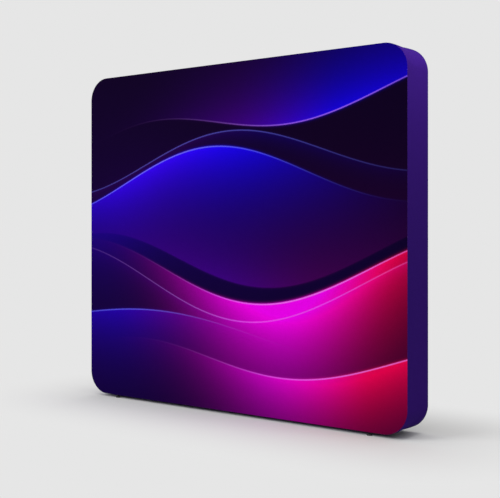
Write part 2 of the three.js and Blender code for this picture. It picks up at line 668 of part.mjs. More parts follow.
// Driver: a ribbed case on the tray with a gland at each end
function ledDriver() {
  const half = DRIVER_WIDTH / 2;
  const ribStep = DRIVER_WIDTH / (2 * DRIVER_RIBS - 1);
  const ribs = Array.from({ length: DRIVER_RIBS }, (_, i) => half - 2 * i * ribStep);
  const ribbedTop = ribs.flatMap((y) => [
    [y, DRIVER_HEIGHT - DRIVER_RIB_DEPTH], [y, DRIVER_HEIGHT],
    [y - ribStep, DRIVER_HEIGHT], [y - ribStep, DRIVER_HEIGHT - DRIVER_RIB_DEPTH],
  ]);
  const outline = [[-half, 0], [half, 0], ...ribbedTop].map(([y, z]) => new THREE.Vector2(y, z));
  const base = TRAY_TOP_Z + SEAT_GAP;
  const gland = (side) =>
    rod(GLAND_RADIUS, DRIVER_LENGTH / 2 - WELD_BITE, DRIVER_LENGTH / 2 + GLAND_LENGTH, SMALL_SIDES)
      .rotateY((side * Math.PI) / 2)
      .translate(DRIVER_X, 0, base + DRIVER_HEIGHT / 2);
  return join(
    alongX(outline, DRIVER_LENGTH).translate(DRIVER_X - DRIVER_LENGTH / 2, 0, base), gland(-1), gland(1));
}

// Cable from the back of the inlet down to the rungs, along them and up into the driver
function supplyCable() {
  const start = new THREE.Vector3(INLET_X, inletFloorY() - SEAT_GAP, INLET_LOCAL_Z);
  const end = new THREE.Vector3(
    DRIVER_X - DRIVER_LENGTH / 2 - GLAND_LENGTH - SEAT_GAP, 0, TRAY_TOP_Z + SEAT_GAP + DRIVER_HEIGHT / 2);
  const onRungs = RUNG_TOP_Z + CABLE_RADIUS;
  const route = new THREE.CatmullRomCurve3([
    start,
    start.clone().add(new THREE.Vector3(0, -CABLE_BEND / 2, 0)),
    new THREE.Vector3(start.x + CABLE_BEND / 2, start.y - CABLE_BEND, (start.z + onRungs) / 2),
    new THREE.Vector3(start.x + 2 * CABLE_BEND, start.y - CABLE_BEND, onRungs),
    new THREE.Vector3(start.x + 3 * CABLE_BEND, start.y - CABLE_BEND, onRungs),
    new THREE.Vector3((start.x + end.x) / 2, (start.y - CABLE_BEND) / 2, onRungs),
    new THREE.Vector3(end.x - 4 * CABLE_BEND, 0, onRungs),
    new THREE.Vector3(end.x - 3 * CABLE_BEND, 0, onRungs),
    new THREE.Vector3(end.x - 1.5 * CABLE_BEND, 0, (end.z + onRungs) / 2),
    end.clone().add(new THREE.Vector3(-CABLE_BEND / 2, 0, 0)),
    end,
  ], false, 'centripetal');
  return alongPath(CABLE_RADIUS, route, CABLE_STEPS);
}

// A round cable of this radius along a route
function alongPath(radius, route, steps) {
  const section = new THREE.Shape(arcPoints(0, 0, radius, 0, 2 * Math.PI, CABLE_SIDES).slice(0, -1));
  return new THREE.ExtrudeGeometry(section, { steps, extrudePath: route, bevelEnabled: false });
}

// Loom in front of the bars' lower ends: one run with a plug at each bar and a lead to the driver
function lampLoom() {
  const plugFaceY = BAR_BACK_Y - BOARD_FACE - SEAT_GAP;
  const z = -TUBE_Z + TUBE_SIDE / 2 + LOOM_RISE;
  const y = BAR_BACK_Y - BAR_BASE - BAR_LIP_HEIGHT - SEAT_GAP - LOOM_RADIUS;
  const reach = barX(BAR_COUNT - 1);
  const run = rod(LOOM_RADIUS, -reach, reach, CABLE_SIDES).rotateY(Math.PI / 2).translate(0, y, z);
  const plugs = Array.from({ length: BAR_COUNT }, (_, i) => block(
    [barX(i) - PLUG_WIDTH / 2, barX(i) + PLUG_WIDTH / 2], [y - LOOM_RADIUS - PLUG_COVER, plugFaceY],
    [z - PLUG_HEIGHT / 2, z + PLUG_HEIGHT / 2]));
  const driverEnd = DRIVER_X + DRIVER_LENGTH / 2 + GLAND_LENGTH + SEAT_GAP;
  const glandZ = TRAY_TOP_Z + SEAT_GAP + DRIVER_HEIGHT / 2;
  const lead = new THREE.CatmullRomCurve3([
    new THREE.Vector3(driverEnd, 0, glandZ),
    new THREE.Vector3(driverEnd + CABLE_BEND / 2, 0, glandZ),
    new THREE.Vector3(driverEnd + 2 * CABLE_BEND, y / 2, (glandZ + z) / 2),
    new THREE.Vector3(driverEnd + 2 * CABLE_BEND, y, z),
  ], false, 'centripetal');
  return join(run, alongPath(LOOM_RADIUS, lead, LEAD_STEPS), ...plugs);
}

function barX(i) {
  return (i - (BAR_COUNT - 1) / 2) * BAR_PITCH;
}

// Inlet: a plate over the cloth, a body through it, the mains socket with three blades, and the
// switch well with bearings for the rocker. Made round x = 0, z = 0.
const INLET_PLATE_Y = HALF_DEPTH + SEAT_GAP;
const INLET_FACE_Y = INLET_PLATE_Y + INLET_PLATE_THICK;
const PIVOT_Y = INLET_FACE_Y - ROCKER_ABOVE_PIVOT + ROCKER_PROUD;
const inletFloorY = () => INLET_PLATE_Y - INLET_BODY_DEPTH;

function powerInlet() {
  const plate = slab(
    roundedOutline(INLET_PLATE_WIDTH / 2, INLET_PLATE_HEIGHT / 2, INLET_PLATE_ROUND, 0, 0, ARC_STEPS / 2),
    INLET_PLATE_Y, INLET_PLATE_THICK);
  const body = block(
    [-INLET_BODY_WIDTH / 2, INLET_BODY_WIDTH / 2], [inletFloorY(), INLET_PLATE_Y + WELD_BITE],
    [-INLET_BODY_HEIGHT / 2, INLET_BODY_HEIGHT / 2]);
  const w = SOCKET_WIDTH / 2;
  const h = SOCKET_HEIGHT / 2;
  const socketOutline = [
    [-w, -h], [w, -h], [w, h - SOCKET_CHAMFER], [w - SOCKET_CHAMFER, h],
    [-w + SOCKET_CHAMFER, h], [-w, h - SOCKET_CHAMFER],
  ].map(([x, z]) => new THREE.Vector2(SOCKET_X + x, z));
  const socketFloorY = INLET_FACE_Y - SOCKET_DEPTH;
  const socket = slab(socketOutline, socketFloorY, SOCKET_DEPTH + CUT_OVERRUN);
  const well = block(
    [SWITCH_X - SWITCH_WIDTH / 2, SWITCH_X + SWITCH_WIDTH / 2],
    [INLET_FACE_Y - SWITCH_DEPTH, INLET_FACE_Y + CUT_OVERRUN], [-SWITCH_HEIGHT / 2, SWITCH_HEIGHT / 2]);
  const bearingReach = SWITCH_WIDTH / 2 + ROCKER_PIN_LENGTH + ROCKER_PIN_GAP;
  const bearing = rod(ROCKER_PIN_RADIUS + ROCKER_PIN_GAP, -bearingReach, bearingReach, SMALL_SIDES)
    .rotateY(Math.PI / 2)
    .translate(SWITCH_X, PIVOT_Y, 0);
  const blade = (x, z) => block(
    [SOCKET_X + x - BLADE_THICK / 2, SOCKET_X + x + BLADE_THICK / 2],
    [socketFloorY - WELD_BITE, INLET_FACE_Y - BLADE_RECESS],
    [z - BLADE_WIDTH / 2, z + BLADE_WIDTH / 2]);
  return join(
    cut(join(plate, body), socket, well, bearing),
    blade(-BLADE_SPREAD, -BLADE_RAISE),
    blade(BLADE_SPREAD, -BLADE_RAISE),
    blade(0, BLADE_RAISE));
}

// Rocker made round its pivot and tipped to its off side. Its two facets meet in a shallow valley.
function rocker() {
  const halfHeight = SWITCH_HEIGHT / 2 - ROCKER_GAP;
  const halfWidth = SWITCH_WIDTH / 2 - ROCKER_GAP;
  const rim = ROCKER_ABOVE_PIVOT + halfHeight * Math.tan(ROCKER_TILT);
  const profile = [
    [-ROCKER_BELOW_PIVOT, -halfHeight + ROCKER_TAPER], [rim, -halfHeight], [ROCKER_ABOVE_PIVOT, 0],
    [rim, halfHeight], [-ROCKER_BELOW_PIVOT, halfHeight - ROCKER_TAPER],
  ].map(([y, z]) => new THREE.Vector2(y, z));
  const pinReach = SWITCH_WIDTH / 2 + ROCKER_PIN_LENGTH;
  const pin = rod(ROCKER_PIN_RADIUS, -pinReach, pinReach, SMALL_SIDES).rotateY(Math.PI / 2);
  return join(alongX(profile, 2 * halfWidth).translate(-halfWidth, 0, 0), pin);
}

// Bracket: a foot on the rear tube, a web, a jog back over the zip tape and the inlet's plate
function inletBracket() {
  const tubeTop = -TUBE_Z + TUBE_SIDE / 2 + SEAT_GAP;
  const rear = HALF_DEPTH - LINING;
  const webRear = rear - BRACKET_JOG;
  const footFront = TUBE_Y - TUBE_SIDE / 2;
  const jogTop = INLET_LOCAL_Z - INLET_BODY_HEIGHT / 2 - BRACKET_MARGIN / 2;
  const plateTop = INLET_LOCAL_Z + INLET_BODY_HEIGHT / 2 + BRACKET_MARGIN;
  const s = BRACKET_SHEET;
  const profile = [
    [footFront, tubeTop], [webRear, tubeTop], [webRear, jogTop - s], [rear, jogTop - s],
    [rear, plateTop], [rear - s, plateTop], [rear - s, jogTop], [webRear - s, jogTop],
    [webRear - s, tubeTop + s], [footFront, tubeTop + s],
  ].map(([y, z]) => new THREE.Vector2(y, z));
  const halfWidth = INLET_BODY_WIDTH / 2 + SEAT_GAP;
  const halfHeight = INLET_BODY_HEIGHT / 2 + SEAT_GAP;
  const opening = block(
    [INLET_X - halfWidth, INLET_X + halfWidth], [rear - s - CUT_OVERRUN, rear + CUT_OVERRUN],
    [INLET_LOCAL_Z - halfHeight, INLET_LOCAL_Z + halfHeight]);
  return cut(alongX(profile, BRACKET_WIDTH).translate(INLET_X - BRACKET_WIDTH / 2, 0, 0), opening);
}

// Finishes
const FINISH = {
  print: { color: 0x2a0c5e, roughness: 0.8, metalness: 0 },
  sideCloth: { color: 0x321468, roughness: 0.85, metalness: 0 },
  backCloth: { color: 0x14121c, roughness: 0.9, metalness: 0 },
  zipTape: { color: 0x17151f, roughness: 0.85, metalness: 0 },
  zincAlloy: { color: 0x8f9298, roughness: 0.35, metalness: 0.9 },
  aluminium: { color: 0xb9bcc0, roughness: 0.4, metalness: 0.9 },
  springSteel: { color: 0xa2a6ab, roughness: 0.3, metalness: 1 },
  lampBar: { color: 0xe9e9e4, roughness: 0.5, metalness: 0.1 },
  sheetSteel: { color: 0xd3d4d2, roughness: 0.5, metalness: 0.6 },
  driverCase: { color: 0x2b2d30, roughness: 0.6, metalness: 0.4 },
  cable: { color: 0xd8d8d6, roughness: 0.6, metalness: 0 },
  blackPlastic: { color: 0x121214, roughness: 0.5, metalness: 0 },
  footPlastic: { color: 0x1c1c1e, roughness: 0.7, metalness: 0 },
};

const wall = new THREE.Group();
// The frame's origin is under the middle of the whole, pull and bail included
const cover = new THREE.Group();
cover.position.set(0, -REAR_PROUD / 2, FLOOR_GAP + HALF_HEIGHT);
wall.add(cover);

function add(name, geometry, finish, parent = cover) {
  const mesh = new THREE.Mesh(geometry, new THREE.MeshStandardMaterial(FINISH[finish]));
  mesh.name = name;
  parent.add(mesh);
  return mesh;
}

// A group that mirrors what was made for the top right quarter into another one
function quarter(sx, sz) {
  const group = new THREE.Group();
  group.scale.set(sx, 1, sz);
  cover.add(group);
  return group;
}

add('front_panel', frontPanel(), 'print');
add('back_panel', backPanel(), 'backCloth');
for (const [side, sx] of [['right', 1], ['left', -1]]) {
  add(`side_band_${side}`, sideBand(), 'sideCloth').scale.x = sx;
  add(`post_ladder_${side}`, postLadder(), 'aluminium').scale.x = sx;
}

for (const [level, sz] of [['top', 1], ['bottom', -1]]) {
  add(`rail_ladder_${level}`, railLadder(), 'aluminium').scale.z = sz;
  for (const [side, sx] of [['right', 1], ['left', -1]]) {
    const group = quarter(sx, sz);
    add(`corner_frame_${level}_${side}`, cornerFrame(sz < 0), 'aluminium', group);
    for (const [row, y] of [['front', -TUBE_Y], ['rear', TUBE_Y]]) {
      const where = `${level}_${side}_${row}`;
      add(`rail_button_${where}`, atRailJoint(springButton(TUBE_SIDE), y), 'springSteel', group);
      add(`post_button_${where}`, atPostJoint(springButton(TUBE_SIDE), y), 'springSteel', group);
    }
  }
}

add('middle_post_lower', postHalf(true), 'aluminium');
add('middle_post_upper', postHalf(false), 'aluminium');
const postButton = postButtonPlace(springButton(POST_SIDE)).translate(0, POST_Y, 0);
add('middle_post_button', postButton, 'springSteel');

for (const [side, x] of [['right', FOOT_X], ['left', -FOOT_X]]) {
  for (const [row, y] of [['front', -TUBE_Y], ['rear', TUBE_Y]]) {
    const foot = add(`levelling_foot_${side}_${row}`, levellingFoot(), 'footPlastic');
    foot.position.set(x, y, -HALF_HEIGHT - FLOOR_GAP);
    const ring = add(`eyelet_${side}_${row}`, eyelet(), 'zincAlloy');
    ring.position.set(x, y, -HALF_HEIGHT);
  }
}

for (let i = 0; i < BAR_COUNT; i++) {
  add(`led_bar_${i + 1}`, ledBar(), 'lampBar').position.x = barX(i);
}
add('driver_tray', driverTray(), 'sheetSteel');
add('led_driver', ledDriver(), 'driverCase');
add('supply_cable', supplyCable(), 'cable');
add('lamp_loom', lampLoom(), 'cable');

add('inlet_bracket', inletBracket(), 'sheetSteel');
add('power_inlet', powerInlet(), 'blackPlastic').position.set(INLET_X, 0, INLET_LOCAL_Z);
const rockerMesh = add('rocker_switch', rocker(), 'blackPlastic');
rockerMesh.position.set(INLET_X + SWITCH_X, PIVOT_Y, INLET_LOCAL_Z);
rockerMesh.rotation.x = -ROCKER_TILT;

add('zip_stringer_upper', zipStringer(), 'zipTape').position.z = ZIP_LOCAL_Z;
const lowerStringer = add('zip_stringer_lower', zipStringer(), 'zipTape');
lowerStringer.position.z = ZIP_LOCAL_Z;
lowerStringer.scale.z = -1;
const SLIDER_X = ZIP_LENGTH / 2 - SLIDER_LENGTH / 2;
add('zip_slider', zipSlider(), 'zincAlloy').position.set(SLIDER_X, 0, ZIP_LOCAL_Z);
add('zip_pull', zipPull(), 'zincAlloy').position.set(SLIDER_X, PULL_PIN_Y, ZIP_LOCAL_Z);

export default wall;
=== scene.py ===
"""The looks of a freestanding fabric light wall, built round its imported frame. Lengths are in metres,
and the printed front faces -Y."""

import json
import math

import bmesh
import bpy
import numpy as np
from mathutils import Matrix, Vector
from mathutils.geometry import delaunay_2d_cdt


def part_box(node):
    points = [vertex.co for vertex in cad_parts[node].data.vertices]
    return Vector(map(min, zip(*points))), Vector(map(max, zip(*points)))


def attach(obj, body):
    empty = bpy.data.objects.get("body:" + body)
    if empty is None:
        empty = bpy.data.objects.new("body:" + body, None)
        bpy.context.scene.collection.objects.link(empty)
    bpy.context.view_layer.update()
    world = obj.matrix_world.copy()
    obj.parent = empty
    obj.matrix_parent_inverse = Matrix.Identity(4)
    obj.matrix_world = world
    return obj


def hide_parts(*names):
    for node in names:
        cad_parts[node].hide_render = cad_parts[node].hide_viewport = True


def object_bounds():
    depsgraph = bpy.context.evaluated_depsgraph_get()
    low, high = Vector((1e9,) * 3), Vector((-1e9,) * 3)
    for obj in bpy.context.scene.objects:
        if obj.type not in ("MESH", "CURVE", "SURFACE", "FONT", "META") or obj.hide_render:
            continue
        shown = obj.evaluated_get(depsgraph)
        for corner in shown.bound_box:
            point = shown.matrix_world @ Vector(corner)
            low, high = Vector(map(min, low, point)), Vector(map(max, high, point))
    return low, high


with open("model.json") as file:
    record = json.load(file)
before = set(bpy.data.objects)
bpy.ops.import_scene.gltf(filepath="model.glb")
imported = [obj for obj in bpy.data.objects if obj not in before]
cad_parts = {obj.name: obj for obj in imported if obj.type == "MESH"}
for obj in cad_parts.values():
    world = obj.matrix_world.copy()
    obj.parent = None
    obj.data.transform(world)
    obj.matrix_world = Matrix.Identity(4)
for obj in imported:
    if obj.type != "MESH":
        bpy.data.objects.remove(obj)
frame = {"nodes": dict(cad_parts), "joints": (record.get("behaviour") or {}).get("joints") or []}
cad_low, cad_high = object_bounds()
scene = bpy.context.scene
scene.view_settings.view_transform = "Standard"


# Camera. It stands to the right of the printed front, at about chest height, and looks level, so that
# the upright edges stay upright. The long lens keeps the near end of the wall from swelling.
CAMERA_PLACE = (3.786, -4.9124, 1.200)
CAMERA_LEVEL = math.radians(90)
CAMERA_TURN = math.radians(37.165)
CAMERA_LENS = 69.72
CAMERA_SENSOR = 36.0
CAMERA_DROP = -0.0493

camera_data = bpy.data.cameras.new("camera")
camera_data.lens = CAMERA_LENS
camera_data.sensor_width = CAMERA_SENSOR
camera_data.shift_y = CAMERA_DROP
camera = bpy.data.objects.new("camera", camera_data)
camera.location = CAMERA_PLACE
camera.rotation_euler = (CAMERA_LEVEL, 0, CAMERA_TURN)
scene.collection.objects.link(camera)
scene.camera = camera


# Studio. A pale seamless floor and backdrop, even room light, a large soft lamp for the printed front,
# one above the right end, which is why that end darkens downwards, and one for the back.
BACKDROP_COLOUR = (0.791, 0.791, 0.791, 1)
ROOM_LIGHT = (1.31, 1.30, 1.29, 1)
ROOM_SHADE = (0.04, 0.04, 0.04, 1)
ROOM_RISE = 1.0
FLOOR_COLOUR = (0.60, 0.60, 0.60, 1)
FLOOR_REACH = 60.0
FLOOR_FADE_WIDTH = 0.9
WIDE = math.radians(180)
LAMPS = [
    # name, place, aim, width, height, power, spread
    ("front_softbox", (-3.4, -5.8, 3.9), (0.0, 0.0, 1.1), 4.0, 4.0, 350, WIDE),
    ("end_softbox", (1.95, 0.0, 2.85), (1.25, 0.0, 2.0), 0.4, 0.4, 5.6, math.radians(110)),
    ("back_softbox", (-1.5, 6.0, 1.5), (0.0, 0.0, 1.1), 4.0, 2.4, 110, WIDE),
]


def feed(tree, socket, value):
    """Links a socket to another one's output, or sets its value."""
    if isinstance(value, bpy.types.NodeSocket):
        tree.links.new(value, socket)
    else:
        socket.default_value = value


def add_node(tree, kind, inputs=(), **settings):
    """A node with its settings made and its inputs, by name or number, linked or set."""
    made = tree.nodes.new(kind)
    for name, value in settings.items():
        setattr(made, name, value)
    for key, value in dict(inputs).items():
        feed(tree, made.inputs[key], value)
    return made


def calculate(tree, operation, *values):
    made = add_node(tree, "ShaderNodeMath", enumerate(values), operation=operation)
    return made.outputs[0]


def calculate_vector(tree, operation, *values):
    made = add_node(tree, "ShaderNodeVectorMath", enumerate(values), operation=operation)
    return made.outputs[0]


def span(tree, value, low, high, to_low=0.0, to_high=1.0, way="LINEAR"):
    """A value between two limits, mapped to two others and clamped."""
    made = add_node(
        tree, "ShaderNodeMapRange",
        {"Value": value, "From Min": low, "From Max": high, "To Min": to_low, "To Max": to_high},
        interpolation_type=way)
    return made.outputs[0]


def blend_colours(tree, share, first, second):
    """Blends two colours. Inputs 6 and 7 and output 2 are the Mix node's colour sockets."""
    made = add_node(tree, "ShaderNodeMix", {0: share, 6: first, 7: second}, data_type="RGBA")
    return made.outputs[2]


def object_place(tree):
    return add_node(tree, "ShaderNodeTexCoord").outputs["Object"]


def parts_of(tree, vector):
    return add_node(tree, "ShaderNodeSeparateXYZ", {0: vector}).outputs


def add_object(name, data):
    made = bpy.data.objects.new(name, data)
    scene.collection.objects.link(made)
    return made


def seen_directly(tree):
    """1 for camera, mirror and glass rays, which see the plain backdrop, and 0 for light."""
    path = tree.nodes.new("ShaderNodeLightPath")
    indirect = calculate(
        tree, "MAXIMUM", path.outputs["Is Glossy Ray"], path.outputs["Is Transmission Ray"])
    return calculate(tree, "MAXIMUM", path.outputs["Is Camera Ray"], indirect)


world = bpy.data.worlds.new("studio")
scene.world = world
world.use_nodes = True
sky_tree = world.node_tree
sky_way = add_node(sky_tree, "ShaderNodeTexCoord").outputs["Generated"]
sky_rise = parts_of(sky_tree, sky_way)["Z"]
sky_light = blend_colours(sky_tree, span(sky_tree, sky_rise, 0.0, ROOM_RISE), ROOM_SHADE, ROOM_LIGHT)
sky_seen = blend_colours(sky_tree, seen_directly(sky_tree), sky_light, BACKDROP_COLOUR)
sky_tree.links.new(sky_seen, sky_tree.nodes["Background"].inputs["Color"])

floor_material = bpy.data.materials.new("studio floor")
floor_material.use_nodes = True
floor_tree = floor_material.node_tree
floor_tree.nodes.remove(floor_tree.nodes["Principled BSDF"])
# The floor is lit near the wall, where its shadow lies, and fades into the backdrop's own colour
floor_away = calculate_vector(floor_tree, "ABSOLUTE", object_place(floor_tree))
floor_past = calculate_vector(floor_tree, "SUBTRACT", floor_away, (cad_high.x, cad_high.y, 0))
floor_clear = calculate_vector(floor_tree, "MAXIMUM", floor_past, (0, 0, 0))
floor_distance = add_node(floor_tree, "ShaderNodeVectorMath", {0: floor_clear}, operation="LENGTH")
floor_fade = span(floor_tree, floor_distance.outputs["Value"], 0.0, FLOOR_FADE_WIDTH, way="SMOOTHSTEP")
floor_share = calculate(floor_tree, "MULTIPLY", floor_fade, seen_directly(floor_tree))
floor_lit = add_node(floor_tree, "ShaderNodeBsdfDiffuse", {"Color": FLOOR_COLOUR})
floor_plain = add_node(floor_tree, "ShaderNodeEmission", {"Color": BACKDROP_COLOUR})
floor_mix = add_node(
    floor_tree, "ShaderNodeMixShader",
    {0: floor_share, 1: floor_lit.outputs[0], 2: floor_plain.outputs[0]})
floor_tree.links.new(floor_mix.outputs[0], floor_tree.nodes["Material Output"].inputs["Surface"])

floor_mesh = bpy.data.meshes.new("floor")
floor_mesh.from_pydata(
    [(-FLOOR_REACH, -FLOOR_REACH, 0), (FLOOR_REACH, -FLOOR_REACH, 0),
     (FLOOR_REACH, FLOOR_REACH, 0), (-FLOOR_REACH, FLOOR_REACH, 0)], [], [(0, 1, 2, 3)])
floor_mesh.materials.append(floor_material)
add_object("floor", floor_mesh)

for name, place, aim, width, height, power, spread in LAMPS:
    lamp_data = bpy.data.lights.new(name, "AREA")
    lamp_data.shape = "RECTANGLE"
    lamp_data.size = width
    lamp_data.size_y = height
    lamp_data.energy = power
    lamp_data.spread = spread
    lamp = add_object(name, lamp_data)
    lamp.visible_camera = False
    lamp.location = place
    lamp.rotation_euler = (Vector(aim) - Vector(place)).to_track_quat("-Z", "Y").to_euler()


# Frame tubes. Two loops of 30 mm square aluminium tube joined by welded rungs, cut into corners, rails
# and posts that plug together. Drawn tube: fine die lines, and a dull mill finish.
TUBE_COLOUR = (0.63, 0.64, 0.65, 1)
TUBE_SHADE = (0.52, 0.53, 0.54, 1)
DIE_LINES = (0.0012, 0.00002)
TUBE_ROUGH = (0.32, 0.5)
LINE_STRETCH = 0.02
LINE_DETAIL = 1.0
CLOUD_SCALE = 40
NOISE_LIMITS = (0.3, 0.7)
BLOTCH_LIMITS = (0.35, 0.65)


def new_material(name, **values):
    """A material, its tree and its shader. Values are the shader's own, with _ for a space."""
    material = bpy.data.materials.new(name)
    material.use_nodes = True
    shader = material.node_tree.nodes["Principled BSDF"]
    for socket, value in values.items():
        shader.inputs[socket.replace("_", " ")].default_value = value
    return material, material.node_tree, shader


def noise(tree, place, size, detail=2.0, stretch=None):
    """Soft noise from 0 to 1 whose blotches are about this size, stretched along the axes if asked."""
    if stretch:
        place = calculate_vector(tree, "MULTIPLY", place, stretch)
    made = add_node(tree, "ShaderNodeTexNoise", {"Vector": place, "Scale": 1 / size, "Detail": detail})
    return made.outputs[0]


def tint(tree, shader, value, limits, shade, light):
    """Colours the shader from shade to light as the value rises between its limits."""
    share = span(tree, value, *limits)
    tree.links.new(blend_colours(tree, share, shade, light), shader.inputs["Base Color"])


def roughen(tree, shader, value, rough, limits=NOISE_LIMITS):
    """Roughness from the least to the most as the value rises between its limits."""
    tree.links.new(span(tree, value, *limits, *rough), shader.inputs["Roughness"])


def raise_surface(tree, shader, height, depth):
    """Bump of that depth in metres, from a height of 0 to 1."""
    bump = add_node(tree, "ShaderNodeBump", {"Height": height, "Distance": depth, "Strength": 1.0})
    tree.links.new(bump.outputs[0], shader.inputs["Normal"])


def drawn_metal(name, light, shade, lines, along, rough):
    """Metal with fine lines along one axis, as a die, a roll or a brush leaves them. Lines gives
    their pitch and depth, and rough the least and the most roughness."""
    material, tree, shader = new_material(name, Metallic=1.0)
    place = object_place(tree)
    pitch, depth = lines
    across = [LINE_STRETCH if axis == along else 1.0 for axis in "XYZ"]
    streaks = noise(tree, place, pitch, LINE_DETAIL, across)
    tint(tree, shader, noise(tree, place, pitch * CLOUD_SCALE), BLOTCH_LIMITS, shade, light)
    roughen(tree, shader, streaks, rough)
    raise_surface(tree, shader, streaks, depth)
    return material


def dress(node_name, material):
    """Gives a CAD node its material."""
    node = frame["nodes"][node_name]
    node.data.materials.clear()
    node.data.materials.append(material)


tube_along_x, tube_along_z = [
    drawn_metal(f"drawn aluminium, {way} tube", TUBE_COLOUR, TUBE_SHADE, DIE_LINES, axis, TUBE_ROUGH)
    for way, axis in (("level", "X"), ("upright", "Z"))]
for level in ("top", "bottom"):
    dress(f"rail_ladder_{level}", tube_along_x)
    for side in ("right", "left"):
        dress(f"corner_frame_{level}_{side}", tube_along_z)
for node_name in ("post_ladder_right", "post_ladder_left", "middle_post_lower", "middle_post_upper"):
    dress(node_name, tube_along_z)


# Spring buttons. A turned steel head on a bent leaf inside each plug-in end, which snaps out through
# the tube's hole and locks the joint. Bright steel, with the grey of tempering on it.
BUTTON_COLOUR = (0.56, 0.57, 0.58, 1)
BUTTON_SHADE = (0.38, 0.38, 0.40, 1)
BUTTON_LINES = (0.0006, 0.00001)
BUTTON_ROUGH = (0.22, 0.36)

button_steel = drawn_metal(
    "tempered spring steel", BUTTON_COLOUR, BUTTON_SHADE, BUTTON_LINES, "X", BUTTON_ROUGH)
for node_name in frame["nodes"]:
    if "_button" in node_name:
        dress(node_name, button_steel)


# LED bars. Extruded channels, coated white, with a white board and clear lensed modules that throw
# light on the cloth. They hook over the rear tubes at the top and the bottom.
BAR_COLOUR = (0.80, 0.80, 0.78, 1)
BAR_SHADE = (0.76, 0.76, 0.74, 1)
BAR_BLOTCH = 0.03
LENS_COLOUR = (0.88, 0.86, 0.74, 1)
LENS_FACE_Y = 0.0795
COATING_GRAIN = 0.0009
COATING_DEPTH = 0.00003

bar_material, tree, shader = new_material("white coated LED bar", Roughness=0.45, Coat_Weight=0.15)
bar_place = object_place(tree)
on_lens = calculate(tree, "LESS_THAN", parts_of(tree, bar_place)["Y"], LENS_FACE_Y)
bar_clouds = span(tree, noise(tree, bar_place, BAR_BLOTCH), *NOISE_LIMITS)
bar_paint = blend_colours(tree, bar_clouds, BAR_SHADE, BAR_COLOUR)
tree.links.new(blend_colours(tree, on_lens, bar_paint, LENS_COLOUR), shader.inputs["Base Color"])
raise_surface(tree, shader, noise(tree, bar_place, COATING_GRAIN), COATING_DEPTH)
for node_name in frame["nodes"]:
    if node_name.startswith("led_bar"):
        dress(node_name, bar_material)


# Driver and tray. A ribbed black case with a gland at each end, on a folded tray of galvanised sheet
# that lies across two rungs. The zinc shows its large, soft spangles.
CASE_COLOUR = (0.034, 0.035, 0.037, 1)
CASE_SHADE = (0.022, 0.023, 0.025, 1)
CASE_GRAIN = (0.0008, 0.00006)
CASE_ROUGH = (0.45, 0.6)
ZINC_COLOUR = (0.62, 0.63, 0.64, 1)
ZINC_SHADE = (0.44, 0.45, 0.47, 1)
ZINC_ROUGH = (0.34, 0.5)
SPANGLE = 0.012
SPANGLE_DEPTH = 0.00002


def grained(name, light, shade, grain, rough=None, blotch=None, limits=NOISE_LIMITS, **values):
    """Moulded, cast, spun or coated stuff. Its grain, a size and a depth, shows in its surface and in
    its gloss if rough is given. Blotches of another size, or else the grain, show in its colour."""
    material, tree, shader = new_material(name, **values)
    place = object_place(tree)
    size, depth = grain
    grains = noise(tree, place, size)
    tint(tree, shader, noise(tree, place, blotch) if blotch else grains, limits, shade, light)
    if rough:
        roughen(tree, shader, grains, rough)
    raise_surface(tree, shader, grains, depth)
    return material


case_material = grained(
    "powder coated driver case", CASE_COLOUR, CASE_SHADE, CASE_GRAIN, CASE_ROUGH, Metallic=0.2)
dress("led_driver", case_material)

sheet_material, tree, shader = new_material("galvanised sheet", Metallic=1.0)
spangles = add_node(
    tree, "ShaderNodeTexVoronoi", {"Vector": object_place(tree), "Scale": 1 / SPANGLE})
spangle_grey = add_node(tree, "ShaderNodeSeparateColor", {0: spangles.outputs["Color"]}).outputs[0]
tint(tree, shader, spangle_grey, (0, 1), ZINC_SHADE, ZINC_COLOUR)
roughen(tree, shader, spangle_grey, ZINC_ROUGH, (0, 1))
raise_surface(tree, shader, spangle_grey, SPANGLE_DEPTH)
dress("driver_tray", sheet_material)
dress("inlet_bracket", sheet_material)


# Wiring. A light grey round mains lead from the inlet to the driver, and the low voltage loom with a
# plug at the foot of each bar. Soft PVC, slightly uneven as extruded.
CABLE_COLOUR = (0.60, 0.60, 0.59, 1)
CABLE_SHADE = (0.50, 0.50, 0.49, 1)
CABLE_WAVER = (0.006, 0.0001)
CABLE_ROUGH = (0.38, 0.55)

cable_material = grained(
    "grey PVC cable", CABLE_COLOUR, CABLE_SHADE, CABLE_WAVER, CABLE_ROUGH, Specular_IOR_Level=0.4)
dress("supply_cable", cable_material)
dress("lamp_loom", cable_material)


# Levelling feet. A moulded pad with a pressed-in hexagon and an M10 stud of blackened steel, which
# screws into the bottom tube through the cloth. The thread is cut, with its crests slightly flat.
FOOT_PROFILE = [
    # radius, height above the floor
    (0.0120, 0.0006), (0.0126, 0.0), (0.0150, 0.0), (0.0156, 0.0003), (0.0160, 0.0010),
    (0.0160, 0.0029), (0.0157, 0.0038), (0.0150, 0.0045), (0.0138, 0.0050), (0.0100, 0.0050),
]
FOOT_SIDES = 48
HEX_RADIUS = 0.0094
HEX_EASE = 0.0006
HEX_HEIGHT = 0.0035
HEX_SIDES = 6
STUD_RADIUS = 0.0050
THREAD_PITCH = 0.0015
THREAD_DEPTH = 0.0008
THREAD_SHARES = [
    # share of the pitch, share of the depth that is left standing
    (0.0, 0.0), (0.12, 0.0), (0.5, 1.0), (0.62, 1.0),
]
THREAD_SIDES = 20
CREASE_ANGLE = math.radians(35)
FOOT_COLOUR = (0.030, 0.029, 0.028, 1)
FOOT_SHADE = (0.014, 0.014, 0.015, 1)
FOOT_GRAIN = (0.0007, 0.00006)
FOOT_ROUGH = (0.5, 0.7)
FOOT_DUST = 0.006
DUST_LIMITS = (0.35, 0.75)
STEEL_COLOUR = (0.075, 0.075, 0.080, 1)
STEEL_SHADE = (0.050, 0.050, 0.053, 1)
